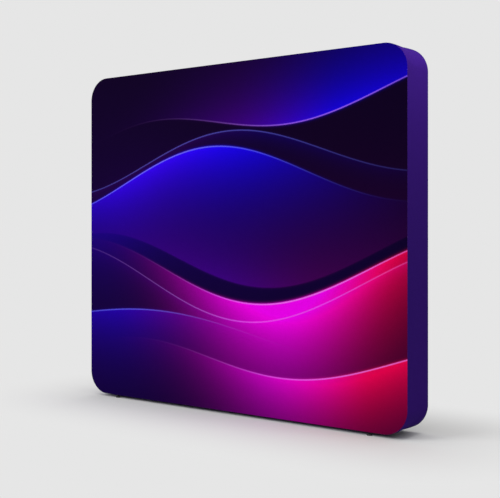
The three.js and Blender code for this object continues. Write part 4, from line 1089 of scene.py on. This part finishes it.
# Back cloth. An opaque charcoal knit that keeps the light in, cut and folded like the front. A long
# slot near its foot is hemmed for the zip, and a small bound opening is left for the mains inlet.
BACK_INSETS = [0.003, 0.0055, 0.009, 0.014, 0.021, 0.031]
HEM_WIDTH = 0.010
HEM = [
    # inset, rise
    (0.0, 0.0), (0.0015, 0.00004), (0.0024, 0.0004), (0.0034, 0.0006), (0.0064, 0.0006),
    (0.0070, 0.0003), (0.0076, 0.0006), (0.0092, 0.0006), (0.0099, 0.0003), (0.0100, -0.0001),
    (0.0094, -0.0006), (0.0060, -0.0007),
]
HEM_STITCH = 5
SLOT_HEIGHT = 0.014
SLOT_ROUND = 0.012
BINDING_WIDTH = 0.003
BINDING = [
    # inset, rise
    (0.0, 0.0), (0.0020, 0.0), (0.0027, -0.0002), (0.0029, -0.0008),
]
BINDING_ROUND = 0.004
INLET_BODY_HALF = (0.028, 0.015)
INLET_CLEAR = 0.0003
CHARCOAL = srgb(46, 45, 52)
CHARCOAL_SHADE = srgb(37, 36, 42)
LINING_MOTTLE = 0.02

lining_material = plain_cloth(
    "charcoal lining cloth", facing_plane, CHARCOAL, CHARCOAL_SHADE, LINING_MOTTLE,
    Roughness=0.88, Specular_IOR_Level=0.12)
upper_low, upper_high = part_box("zip_stringer_upper")
zip_z = (upper_low.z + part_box("zip_stringer_lower")[1].z) / 2
zip_half = (upper_high.x - upper_low.x) / 2
plate_low, plate_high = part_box("power_inlet")
inlet_x, inlet_z = (plate_low.x + plate_high.x) / 2, (plate_low.z + plate_high.z) / 2
slot = Outline(0.0, zip_z, zip_half + HEM_WIDTH, SLOT_HEIGHT / 2 + HEM_WIDTH, SLOT_ROUND, OUTLINE_STEP)
bound_half = [half + INLET_CLEAR + BINDING_WIDTH for half in INLET_BODY_HALF]
inlet_opening = Outline(inlet_x, inlet_z, *bound_half, BINDING_ROUND, OUTLINE_STEP)
back_cloth = panel(
    "plain_back", face_outline, back_high.y, -1, BACK_INSETS, [(slot, HEM), (inlet_opening, BINDING)],
    lining_material)
thicken(back_cloth, CLOTH_THICK)
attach(back_cloth, "wall")
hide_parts("back_panel")


# Seam threads and topstitching. Polyester thread: a ladder of stitches deep in the folded seams round
# the front and the back, and a row of topstitches that holds the zip's hem flat.
SEWING_RADIUS = 0.00022
SEWING_SIDES = 5
STITCH_PITCH = 0.0035
STITCH_LENGTH = 0.0026
STITCH_RISE = 0.00022
LADDER_LENGTH = 0.0011
LADDER_INSET = 0.00062
STITCH_STEPS = 4
STITCH_CREASE = math.radians(80)
SEAM_THREAD = srgb(128, 52, 150)
SEAM_THREAD_SHADE = srgb(88, 32, 120)
BACK_THREAD = srgb(66, 64, 72)
BACK_THREAD_SHADE = srgb(44, 43, 50)
SEWING_TWIST = (0.0004, 0.00003)


def stitch(name, length, axis):
    """One stitch as a thin arched tube that dives into the cloth at both ends, along X or Y."""
    mesh = bmesh.new()
    rings = []
    for k in range(STITCH_STEPS + 1):
        share = k / STITCH_STEPS
        along, lift = length * (share - 0.5), STITCH_RISE * (math.sin(math.pi * share) * 2 - 1)
        rings.append([
            mesh.verts.new((along, aside, up) if axis == "X" else (aside, along, up))
            for aside, up in circle(SEWING_RADIUS, SEWING_SIDES, (0, lift))])
    add_rings(mesh, rings)
    return finish_mesh(mesh, name, [], STITCH_CREASE)


def row_of_stitches():
    """A stitch repeated along a path at an even pitch, laid along it and facing outwards."""
    tree, given, result = new_tree("row of stitches", Stitch="Object", Pitch="Float", Thread="Material")
    line = add_node(tree, "GeometryNodeMeshToCurve", {0: given["Geometry"]})
    spaced = add_node(
        tree, "GeometryNodeResampleCurve", {"Curve": line.outputs[0], "Length": given["Pitch"]},
        mode="LENGTH")
    shape = add_node(tree, "GeometryNodeObjectInfo", {"Object": given["Stitch"]}).outputs["Geometry"]
    tangent = tree.nodes.new("GeometryNodeInputTangent").outputs[0]
    aimed = add_node(tree, "FunctionNodeAlignRotationToVector", {"Vector": tangent}, axis="X")
    faced = add_node(
        tree, "FunctionNodeAlignRotationToVector",
        {"Rotation": aimed.outputs[0], "Vector": named(tree, "outward", "FLOAT_VECTOR")},
        axis="Z", pivot_axis="X")
    placed = add_node(
        tree, "GeometryNodeInstanceOnPoints",
        {"Points": spaced.outputs[0], "Instance": shape, "Rotation": faced.outputs[0]})
    return finish_tree(tree, placed.outputs[0], given["Thread"], result)


def sew(name, outline, inset, y, facing, shape, thread):
    """A row of stitches round an outline. Facing gives the outward share and the Y share."""
    out = outline.outward * facing[0]
    outward = np.column_stack([out[:, 0], np.full(outline.count, facing[1]), out[:, 1]])
    source = points_object(
        "seam line", outline.ring(inset, y), round_edges(0, outline.count), outward=outward)
    row = grow(stitch_tree, name, source, Stitch=shape, Pitch=STITCH_PITCH, Thread=thread)
    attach(row, "wall")


violet_thread, charcoal_thread = [
    grained(name, light, shade, SEWING_TWIST, Roughness=0.5, Sheen_Weight=0.2)
    for name, light, shade in (
        ("violet seam thread", SEAM_THREAD, SEAM_THREAD_SHADE),
        ("charcoal thread", BACK_THREAD, BACK_THREAD_SHADE))]
stitch_tree = row_of_stitches()
topstitch = stitch("topstitch", STITCH_LENGTH, "X")
ladder = stitch("ladder", LADDER_LENGTH, "Y")
sew("front_seam_thread", face_outline, LADDER_INSET, front_low.y + LADDER_INSET, (1, -1), ladder,
    violet_thread)
sew("back_seam_thread", face_outline, LADDER_INSET, back_high.y - LADDER_INSET, (1, 1), ladder,
    charcoal_thread)
hem_inset, hem_rise = HEM[HEM_STITCH]
sew("zip_topstitching", slot, hem_inset, back_high.y + hem_rise, (0, 1), topstitch,
    charcoal_thread)
for shape in (topstitch, ladder):
    bpy.data.objects.remove(shape)


# Zip tapes. Woven polyester, sewn under the hem on both sides of the slot, each with a corded inner
# edge that the teeth grip. They lie flat, with a slight ripple where they are sewn.
TAPE_THICK = 0.0006
TAPE_BACK = 0.0013
TAPE_TUCK = 0.006
TAPE_SECTION = [
    # off the zip's middle, rise
    (0.0016, 0.0), (0.0024, 0.0002), (0.0032, 0.0002), (0.0040, 0.0), (0.0070, 0.0), (0.0125, 0.0),
    (0.0184, 0.0), (0.0192, 0.0001), (0.0208, 0.0),
]
TAPE_STEP = 0.012
TAPE_RIPPLE = 0.00012
RIPPLE_TURNS = (61, 23)
TAPE_YARN = 0.0005
TAPE_YARN_DEPTH = 0.00005
CHEVRON_WIDTH = 0.0022
TAPE_COLOUR = srgb(52, 51, 58)
TAPE_SHADE = srgb(34, 33, 38)

tape_material, tree, shader = new_material("woven zip tape", Roughness=0.75, Sheen_Weight=0.1)
tape_place = parts_of(tree, facing_plane(tree))
chevrons = calculate(tree, "PINGPONG", tape_place["Y"], CHEVRON_WIDTH)
slanted = calculate(tree, "ADD", tape_place["X"], chevrons)
turned = calculate(tree, "SINE", calculate(tree, "MULTIPLY", slanted, 2 * math.pi / TAPE_YARN))
tape_rows = span(tree, turned, -1, 1)
tint(tree, shader, tape_rows, (0, 1), TAPE_SHADE, TAPE_COLOUR)
raise_surface(tree, shader, tape_rows, TAPE_YARN_DEPTH)

tape_y = back_high.y - TAPE_BACK
tape_reach = zip_half + TAPE_TUCK
tape_columns = np.linspace(-tape_reach, tape_reach, 1 + round(2 * tape_reach / TAPE_STEP))
tape_inner, tape_outer = TAPE_SECTION[0][0], TAPE_SECTION[-1][0]
for level, side in (("upper", 1), ("lower", -1)):
    points = []
    for x in tape_columns:
        ripple = TAPE_RIPPLE * math.sin(RIPPLE_TURNS[0] * x + side) * math.sin(RIPPLE_TURNS[1] * x)
        for off, rise in TAPE_SECTION:
            points.append((x, tape_y + rise + ripple * off / tape_outer, zip_z + side * off))
    wide = len(TAPE_SECTION)
    faces = []
    for i in range(len(tape_columns) - 1):
        for j in range(wide - 1):
            corner = i * wide + j
            face = (corner, corner + 1, corner + wide + 1, corner + wide)
            faces.append(face if side > 0 else face[::-1])
    data = bpy.data.meshes.new(f"zip_tape_{level}")
    data.from_pydata(points, [], faces)
    data.materials.append(tape_material)
    data.shade_smooth()
    tape = add_object(data.name, data)
    thicken(tape, TAPE_THICK)
    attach(tape, "wall")
    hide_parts(f"zip_stringer_{level}")


# Zip teeth. Moulded acetal, clamped on the tapes' corded edges at an even pitch, the lower row half a
# pitch along so that the heads mesh. A moulded stop holds the two rows together at the left end.
TOOTH_PITCH = 0.003
TOOTH_OUTLINE = [
    # half width along the zip, off the zip's middle
    (0.00045, -0.00065), (0.00075, -0.0002), (0.0006, 0.0007), (0.00095, 0.0016), (0.00095, 0.0030),
    (0.0007, 0.0038),
]
TOOTH_LEVELS = [
    # inset, off the tooth's middle
    (0.0003, 0.0012), (0.0, 0.0008),
]
CHAIN_DEPTH = 0.0017
STOP_LENGTH = 0.0035
STOP_HALF_HEIGHT = 0.0042
STOP_LEVELS = [
    # inset, off the stop's middle
    (0.0005, 0.0014), (0.0, 0.0009),
]
ACETAL_COLOUR = srgb(44, 43, 49)
ACETAL_SHADE = srgb(36, 35, 40)
ACETAL_GRAIN = (0.0004, 0.00001)
ACETAL_BLOTCH = 0.0048
ACETAL_ROUGH = (0.3, 0.42)


def mirrored(levels):
    """Levels from an end to the middle, given by how far off it they are, and the same beyond it."""
    return [(inset, -off) for inset, off in levels] + levels[::-1]


def moved(levels, by):
    return [(inset, by + level) for inset, level in levels]


def box_corners(left, right, low, high):
    return [(left, low), (right, low), (right, high), (left, high)]


def drawn_in(loop, inset):
    """A closed anticlockwise loop of (u, v) with each of its sides moved in by inset."""
    loop = np.asarray(loop, float)
    before, after = loop - np.roll(loop, 1, axis=0), np.roll(loop, -1, axis=0) - loop
    first, second = [
        np.column_stack([-side[:, 1], side[:, 0]]) / np.linalg.norm(side, axis=1)[:, None]
        for side in (before, after)]
    facing = 1 + (first * second).sum(axis=1)
    return loop + inset * (first + second) / facing[:, None]


def add_loops(mesh, loop, levels, axis="Y"):
    """Rings of one loop, each drawn in by an inset at a level along the axis, joined in order."""
    rings = []
    for inset, level in levels:
        ring = []
        for u, v in drawn_in(loop, inset):
            place = {"X": (level, u, v), "Y": (u, level, v), "Z": (u, v, level)}[axis]
            ring.append(mesh.verts.new(place))
        rings.append(ring)
    add_rings(mesh, rings, closed_ends=False)
    return rings


def add_fill(mesh, rings, axis="Y"):
    """Faces across one level, inside the first ring and outside the others."""
    keep = [i for i in range(3) if "XYZ"[i] != axis]
    verts = [vert for ring in rings for vert in ring]
    flat = [Vector((vert.co[keep[0]], vert.co[keep[1]])) for vert in verts]
    edges = []
    for ring in rings:
        edges += round_edges(len(edges), len(ring))

    def inside(place):
        """True if an odd number of edges lies to the right of the place."""
        crossings = 0
        for start, end in edges:
            a, b = flat[start], flat[end]
            if (a.y > place.y) != (b.y > place.y):
                crossings += place.x < a.x + (b.x - a.x) * (place.y - a.y) / (b.y - a.y)
        return crossings % 2 == 1

    for corners in fill(flat, edges, inside):
        mesh.faces.new([verts[i] for i in corners])


def add_eased_block(mesh, loop, levels, axis="Y"):
    """A closed solid: a loop's rings with both ends filled. The loop may have any shape."""
    rings = add_loops(mesh, loop, levels, axis)
    add_fill(mesh, [rings[0]], axis)
    add_fill(mesh, [rings[-1]], axis)


def copies_in_a_row():
    """A shape repeated along a straight line."""
    tree, given, result = new_tree(
        "copies in a row", Shape="Object", Count="Int", First="Vector", Step="Vector", Finish="Material")
    line = add_node(
        tree, "GeometryNodeMeshLine",
        {"Count": given["Count"], "Start Location": given["First"], "Offset": given["Step"]},
        mode="OFFSET")
    shape = add_node(tree, "GeometryNodeObjectInfo", {"Object": given["Shape"]}).outputs["Geometry"]
    placed = add_node(
        tree, "GeometryNodeInstanceOnPoints", {"Points": line.outputs[0], "Instance": shape})
    return finish_tree(tree, placed.outputs[0], given["Finish"], result)


def repeated(name, shape, count, first, step, material):
    """Copies of a shape in a row, as one plain mesh. The shape is used up."""
    source = points_object("row", [(0, 0, 0)])
    row = grow(
        row_tree, name, source, Shape=shape, Count=count, First=first, Step=step, Finish=material)
    bpy.data.objects.remove(shape)
    return row


acetal = grained(
    "moulded acetal", ACETAL_COLOUR, ACETAL_SHADE, ACETAL_GRAIN, ACETAL_ROUGH, ACETAL_BLOTCH,
    BLOTCH_LIMITS, Specular_IOR_Level=0.4)
row_tree = copies_in_a_row()
chain_y = back_high.y - CHAIN_DEPTH
tooth_count = int((2 * zip_half - STOP_LENGTH - TOOTH_PITCH) / TOOTH_PITCH)
first_tooth = -zip_half + STOP_LENGTH + TOOTH_PITCH / 2
for level, side in (("upper", 1), ("lower", -1)):
    outline = [(half, side * off) for half, off in TOOTH_OUTLINE]
    outline += [(-half, side * off) for half, off in reversed(TOOTH_OUTLINE)]
    mesh = bmesh.new()
    add_eased_block(mesh, outline[::side], mirrored(TOOTH_LEVELS))
    tooth = finish_mesh(mesh, "tooth", [])
    start = (first_tooth + (0 if side > 0 else TOOTH_PITCH / 2), chain_y, zip_z)
    row = repeated(f"zip_teeth_{level}", tooth, tooth_count, start, (TOOTH_PITCH, 0, 0), acetal)
    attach(row, "wall")

mesh = bmesh.new()
stop_corners = box_corners(
    -zip_half, -zip_half + STOP_LENGTH, zip_z - STOP_HALF_HEIGHT, zip_z + STOP_HALF_HEIGHT)
add_eased_block(mesh, stop_corners, moved(mirrored(STOP_LEVELS), chain_y))
stop = finish_mesh(mesh, "zip_stop", [acetal])
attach(stop, "wall")


# Zip slider. Die-cast zinc, nickel plated and tumbled: a top and a sole plate with flanges round the
# teeth, and the bail that carries the pull. Its widest end leads as it closes.
SLIDER_TAIL_HALF = 0.0057
SLIDER_NOSE_HALF = 0.0067
# its levels, from here to the post's, are each an inset and a height off the teeth's middle
SLIDER_TOP_LEVELS = [
    (0.0003, 0.0020), (0.0, 0.0022), (0.0, 0.0034), (0.00015, 0.0037), (0.00045, 0.0039),
    (0.0009, 0.0040),
]
SLIDER_SOLE_LEVELS = [
    (0.0007, -0.0030), (0.0002, -0.0027), (0.0, -0.0022), (0.0, -0.0016), (0.0002, -0.0015),
]
FLANGE_IN = 0.0041
FLANGE_OUT = 0.0053
FLANGE_TOP_LEVELS = [(0.0002, 0.0008), (0.0, 0.0010), (0.0, 0.0021)]
FLANGE_SOLE_LEVELS = [(0.0, -0.0016), (0.0, -0.0009), (0.0002, -0.0007)]
POST_LENGTH = 0.005
POST_HALF = 0.0005
POST_LEVELS = [(0.0, 0.0015), (0.0, 0.0021)]
SLIDER_CORNER = 0.0016
BAIL_CORNERS = [
    # along the zip, above the top plate
    (-0.005, -0.0002), (-0.0035, -0.0002), (-0.0035, 0.003), (0.0035, 0.003), (0.0035, -0.0002),
    (0.005, -0.0002), (0.005, 0.0030), (0.0035, 0.0045), (-0.0035, 0.0045), (-0.005, 0.0030),
]
BAIL_ROUND = 0.0007
BAIL_LEVELS = [
    # inset, off the bail's middle
    (0.0004, 0.002), (0.0001, 0.0019), (0.0, 0.0016),
]
CAST_COLOUR = (0.66, 0.64, 0.61, 1)
CAST_SHADE = (0.52, 0.51, 0.49, 1)
CAST_GRAIN = (0.0005, 0.000012)
CAST_BLOTCH = 0.006
CAST_ROUGH = (0.2, 0.34)
ROUND_STEPS = 3


def softened(corners, reach, steps=ROUND_STEPS):
    """A closed loop of corners, each rounded over as far as its reach along both sides."""
    corners = [Vector(corner) for corner in corners]
    reaches = np.broadcast_to(reach, len(corners))
    loop = []
    for k, corner in enumerate(corners):
        before, after = corners[k - 1], corners[(k + 1) % len(corners)]
        start = corner + (before - corner).normalized() * reaches[k]
        end = corner + (after - corner).normalized() * reaches[k]
        for step in range(steps + 1):
            t = step / steps
            loop.append(tuple(start * (1 - t) ** 2 + corner * 2 * t * (1 - t) + end * t ** 2))
    return loop


cast_zinc = grained(
    "tumbled nickel on zinc", CAST_COLOUR, CAST_SHADE, CAST_GRAIN, CAST_ROUGH, CAST_BLOTCH,
    BLOTCH_LIMITS, Metallic=1.0)
slider_low, slider_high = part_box("zip_slider")
pull_low, pull_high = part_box("zip_pull")
slider_x = (slider_low.x + slider_high.x) / 2
slider_corners = [
    (slider_low.x, zip_z - SLIDER_TAIL_HALF), (slider_high.x, zip_z - SLIDER_NOSE_HALF),
    (slider_high.x, zip_z + SLIDER_NOSE_HALF), (slider_low.x, zip_z + SLIDER_TAIL_HALF)]
slider_plate = softened(slider_corners, SLIDER_CORNER)
flange_tail, flange_nose = slider_low.x + SLIDER_CORNER / 2, slider_high.x - SLIDER_CORNER / 2
flanges = [
    box_corners(flange_tail, flange_nose, zip_z + low, zip_z + high)
    for low, high in ((-FLANGE_OUT, -FLANGE_IN), (FLANGE_IN, FLANGE_OUT))]
post = box_corners(slider_high.x - POST_LENGTH, flange_nose, zip_z - POST_HALF, zip_z + POST_HALF)
mesh = bmesh.new()
for loop, levels in (
        (slider_plate, SLIDER_TOP_LEVELS), (slider_plate, SLIDER_SOLE_LEVELS),
        (flanges[0], FLANGE_TOP_LEVELS), (flanges[0], FLANGE_SOLE_LEVELS),
        (flanges[1], FLANGE_TOP_LEVELS), (flanges[1], FLANGE_SOLE_LEVELS), (post, POST_LEVELS)):
    add_eased_block(mesh, loop, moved(levels, chain_y))
top_face = chain_y + SLIDER_TOP_LEVELS[-1][1]
bail = softened([(slider_x + x, top_face + y) for x, y in BAIL_CORNERS], BAIL_ROUND)
add_eased_block(mesh, bail, moved(mirrored(BAIL_LEVELS), zip_z), "Z")
slider = finish_mesh(mesh, "cast_zip_slider", [cast_zinc])
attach(slider, "slider")
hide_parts("zip_slider")


# Zip pull. A die-cast tab with a window round the bail, a sunk panel on each face and a hole at its
# end. Its crossbar turns under the bail, and it rests flat against the zip.
PULL_PIN = 0.001
PULL_TAIL_ROUND = 0.0050
PULL_PIN_ROUND = 0.0008
# the left and right ends of each, off the pin, and half its height
PULL_WINDOW = (-0.0100, -0.0010, 0.0035)
PULL_PANEL = (-0.0245, -0.0125, 0.0032)
PULL_WINDOW_ROUND = 0.0012
# the hole's middle, off the pin, and its radius
PULL_HOLE = (-0.0305, 0.0026)
PULL_HOLE_SIDES = 40
PULL_TAIL_STEPS = 5
PULL_LEVELS = [
    # inset, off the pull's middle
    (0.0004, 0.0008), (0.0001, 0.0007), (0.0, 0.0004),
]
PANEL_SINK = 0.00025

pin_x, pin_y = pull_high.x - PULL_PIN, (pull_low.y + pull_high.y) / 2
tab = softened(
    box_corners(pull_low.x, pull_high.x, pull_low.z, pull_high.z),
    [PULL_TAIL_ROUND, PULL_PIN_ROUND, PULL_PIN_ROUND, PULL_TAIL_ROUND], PULL_TAIL_STEPS)
window, sunk_panel = [
    softened(box_corners(pin_x + left, pin_x + right, zip_z - half, zip_z + half), PULL_WINDOW_ROUND)
    for left, right, half in (PULL_WINDOW, PULL_PANEL)]
hole_x, hole_radius = PULL_HOLE
hole = circle(hole_radius, PULL_HOLE_SIDES, (pin_x + hole_x, zip_z))
mesh = bmesh.new()
rims = []
for loop, sign in ((tab, 1), (window, -1), (hole, -1)):
    levels = [(sign * inset, pin_y + off) for inset, off in mirrored(PULL_LEVELS)]
    rims.append(add_loops(mesh, loop, levels))
for end, side in ((0, -1), (-1, 1)):
    face_y = pin_y + side * PULL_LEVELS[0][1]
    panel_rings = add_loops(mesh, sunk_panel, [(0.0, face_y), (PANEL_SINK, face_y - side * PANEL_SINK)])
    add_fill(mesh, [rings[end] for rings in rims] + [panel_rings[0]])
    add_fill(mesh, [panel_rings[1]])
pull = finish_mesh(mesh, "cast_zip_pull", [cast_zinc])
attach(pull, "pull")
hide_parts("zip_pull")


# Mains inlet. A black moulding whose flange clamps the cloth to the bracket, with a keyed socket and a
# well for the rocker. Its three blades are nickel plated, and two small screws hold it.
INLET_ROUND = 0.0068
INLET_ROUND_STEPS = 8
INLET_RIM = [
    # inset, height off the cloth
    (0.0002, 0.0), (0.0, 0.0002), (0.0, 0.0019), (0.00018, 0.00232), (0.0006, 0.0025),
]
INLET_BODY_ROUND = 0.002
INLET_BODY_DEPTH = 0.024
INLET_BODY_EDGE = 0.001
SOCKET_MIDDLE = -0.0135
SOCKET_HALF = (0.01225, 0.0085)
SOCKET_KEY = 0.005
SOCKET_DEPTH = 0.017
SOCKET_ROUND = 0.0009
WELL_MIDDLE = 0.0145
WELL_HALF = (0.0075, 0.011)
WELL_DEPTH = 0.013
WELL_EASE = [
    # inset, depth under the face
    (-0.0005, 0.0), (-0.00015, 0.00015), (0.0, 0.0005),
]
BLADES = [
    # off the socket's middle, level
    (-0.007, -0.002), (0.0, 0.002), (0.007, -0.002),
]
BLADE_HALF = (0.001, 0.002)
BLADE_TIP = 0.002
BLADE_ROOT = 0.0005
BLADE_EASE = [
    # inset, depth under the blade's end
    (0.0005, 0.0), (0.0001, 0.0004), (0.0, 0.0010),
]
SCREW_OFF = 0.0304
SCREW_PROFILE = [
    # radius, height above the flange
    (0.0021, -0.0006), (0.0021, 0.0002), (0.0019, 0.00045), (0.0012, 0.0006),
]
# the cross in its head: half its length, half its width and its depth
SCREW_CROSS = (0.0011, 0.00028, 0.0004)
SCREW_SIDES = 24
PLASTIC_COLOUR = srgb(30, 30, 32)
PLASTIC_SHADE = srgb(24, 24, 26)
PLASTIC_GRAIN = (0.0005, 0.00002)
PLASTIC_BLOTCH = 0.006
PLASTIC_ROUGH = (0.38, 0.52)


def centred_box(x, z, half):
    return box_corners(x - half[0], x + half[0], z - half[1], z + half[1])


inlet_plastic = grained(
    "black moulded plastic", PLASTIC_COLOUR, PLASTIC_SHADE, PLASTIC_GRAIN, PLASTIC_ROUGH,
    PLASTIC_BLOTCH, BLOTCH_LIMITS)
inlet_face = plate_high.y
flange_loop = softened(
    box_corners(plate_low.x, plate_high.x, plate_low.z, plate_high.z), INLET_ROUND, INLET_ROUND_STEPS)
body_loop = softened(centred_box(inlet_x, inlet_z, INLET_BODY_HALF), INLET_BODY_ROUND)
socket_x = inlet_x + SOCKET_MIDDLE
wide, tall = SOCKET_HALF
socket_loop = softened(
    [(socket_x + x, inlet_z + z) for x, z in (
        (-wide, -tall), (wide, -tall), (wide, tall - SOCKET_KEY), (wide - SOCKET_KEY, tall),
        (-wide + SOCKET_KEY, tall), (-wide, tall - SOCKET_KEY))], SOCKET_ROUND)
well_loop = softened(centred_box(inlet_x + WELL_MIDDLE, inlet_z, WELL_HALF), SOCKET_ROUND)
flange_back = inlet_face - INLET_RIM[-1][1]
mesh = bmesh.new()
flange_rings = add_loops(mesh, flange_loop, moved(INLET_RIM, flange_back))
body_rings = add_loops(
    mesh, body_loop, [
        (0.0, flange_back), (0.0, flange_back - INLET_BODY_DEPTH + INLET_BODY_EDGE),
        (INLET_BODY_EDGE, flange_back - INLET_BODY_DEPTH)])
add_fill(mesh, [flange_rings[0], body_rings[0]])
add_fill(mesh, [body_rings[-1]])
openings = []
for loop, depth in ((socket_loop, SOCKET_DEPTH), (well_loop, WELL_DEPTH)):
    levels = [(inset, inlet_face - drop) for inset, drop in WELL_EASE] + [(0.0, inlet_face - depth)]
    rings = add_loops(mesh, loop, levels)
    add_fill(mesh, [rings[-1]])
    openings.append(rings[0])
add_fill(mesh, [flange_rings[-1]] + openings)
inlet = finish_mesh(mesh, "moulded_inlet", [inlet_plastic])
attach(inlet, "wall")
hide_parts("power_inlet")

mesh = bmesh.new()
blade_levels = [(inset, inlet_face - BLADE_TIP - drop) for inset, drop in BLADE_EASE]
blade_levels.append((0.0, inlet_face - SOCKET_DEPTH - BLADE_ROOT))
for x, z in BLADES:
    add_eased_block(mesh, centred_box(socket_x + x, inlet_z + z, BLADE_HALF), blade_levels)
blades = finish_mesh(mesh, "inlet_blades", [nickel])
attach(blades, "wall")

mesh = bmesh.new()
slot_long, slot_half, slot_deep = SCREW_CROSS
rings = [
    [mesh.verts.new((u, height, v)) for u, v in circle(radius, SCREW_SIDES)]
    for radius, height in SCREW_PROFILE]
add_rings(mesh, rings, closed_ends=False)
cross = [
    (slot_long, -slot_half), (slot_long, slot_half), (slot_half, slot_half), (slot_half, slot_long),
    (-slot_half, slot_long), (-slot_half, slot_half), (-slot_long, slot_half), (-slot_long, -slot_half),
    (-slot_half, -slot_half), (-slot_half, -slot_long), (slot_half, -slot_long), (slot_half, -slot_half)]
head_top = SCREW_PROFILE[-1][1]
cross_rings = add_loops(mesh, cross, [(0.0, head_top), (slot_half / 2, head_top - slot_deep)])
add_fill(mesh, [rings[0]])
add_fill(mesh, [rings[-1], cross_rings[0]])
add_fill(mesh, [cross_rings[1]])
screw = finish_mesh(mesh, "screw", [])
first_screw = (inlet_x - SCREW_OFF, inlet_face, inlet_z)
screws = repeated("inlet_screws", screw, 2, first_screw, (2 * SCREW_OFF, 0, 0), blackened_steel)
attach(screws, "wall")


# Rocker. Glossy black, moulded with two facets that meet over its pivot, and marked with a raised
# white bar and ring. Its lower half is pressed in, so the wall is off.
ROCKER_TIP = math.radians(8)
ROCKER_HALF = (0.0068, 0.0103)
ROCKER_VALLEY = 0.003
ROCKER_BACK = -0.0035
ROCKER_TAPER = 0.0016
ROCKER_LEVELS = [
    # inset, share of the half width
    (0.0004, 1.0), (0.00012, 0.975), (0.0, 0.94),
]
ROCKER_ROUND = [0.0010, 0.0014, 0.0020, 0.0014, 0.0010]
MARK_RISE = 0.00008
MARK_BURY = 0.0002
MARK_AWAY = 0.0058
BAR_MARK = (0.00035, 0.0019)
RING_MARK = (0.0019, 0.0013)
MARK_SIDES = 32
GLOSS_BLACK = srgb(20, 20, 22)
GLOSS_BLACK_SHADE = srgb(16, 16, 18)
GLOSS_GRAIN = (0.0008, 0.000003)
GLOSS_BLOTCH = 0.0096
GLOSS_ROUGH = (0.12, 0.2)
MARK_WHITE = srgb(226, 226, 222)
MARK_WHITE_SHADE = srgb(210, 210, 206)
MARK_GRAIN = (0.0004, 0.000004)
MARK_BLOTCH = 0.0048
MARK_ROUGH = (0.35, 0.5)

rocker_plastic = grained(
    "glossy black rocker", GLOSS_BLACK, GLOSS_BLACK_SHADE, GLOSS_GRAIN, GLOSS_ROUGH, GLOSS_BLOTCH,
    BLOTCH_LIMITS)
mark_paint = grained(
    "white marks", MARK_WHITE, MARK_WHITE_SHADE, MARK_GRAIN, MARK_ROUGH, MARK_BLOTCH, BLOTCH_LIMITS)
half_wide, half_tall = ROCKER_HALF
rocker_rim = ROCKER_VALLEY + half_tall * math.tan(ROCKER_TIP)
profile = [
    (ROCKER_BACK, -half_tall + ROCKER_TAPER), (rocker_rim, -half_tall), (ROCKER_VALLEY, 0.0),
    (rocker_rim, half_tall), (ROCKER_BACK, half_tall - ROCKER_TAPER)]
rocker_pivot = next(joint["pos_m"] for joint in frame["joints"] if joint["name"] == "rocker_press")
rocker_turn = Matrix.Translation(rocker_pivot) @ Matrix.Rotation(-ROCKER_TIP, 4, "X")
mesh = bmesh.new()
rocker_levels = [(inset, half_wide * share) for inset, share in mirrored(ROCKER_LEVELS)]
add_eased_block(mesh, softened(profile, ROCKER_ROUND), rocker_levels, "X")
mesh.transform(rocker_turn)
rocker = finish_mesh(mesh, "moulded_rocker", [rocker_plastic])
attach(rocker, "rocker")
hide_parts("rocker_switch")

bar = softened(centred_box(0, 0, BAR_MARK), BAR_MARK[0] / 2)
circles = [circle(radius, MARK_SIDES) for radius in RING_MARK]
marks = bmesh.new()
for side, loops in ((1, [bar]), (-1, circles)):
    part = bmesh.new()
    ends = [add_loops(part, loop, [(0.0, -MARK_BURY), (0.0, MARK_RISE)]) for loop in loops]
    for level in (0, 1):
        add_fill(part, [rings[level] for rings in ends])
    facet = Matrix.Translation((0, ROCKER_VALLEY + MARK_AWAY * math.tan(ROCKER_TIP), side * MARK_AWAY))
    part.transform(rocker_turn @ facet @ Matrix.Rotation(-side * ROCKER_TIP, 4, "X"))
    data = bpy.data.meshes.new("mark")
    part.to_mesh(data)
    part.free()
    marks.from_mesh(data)
    bpy.data.meshes.remove(data)
rocker_marks = finish_mesh(marks, "rocker_marks", [mark_paint])
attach(rocker_marks, "rocker")
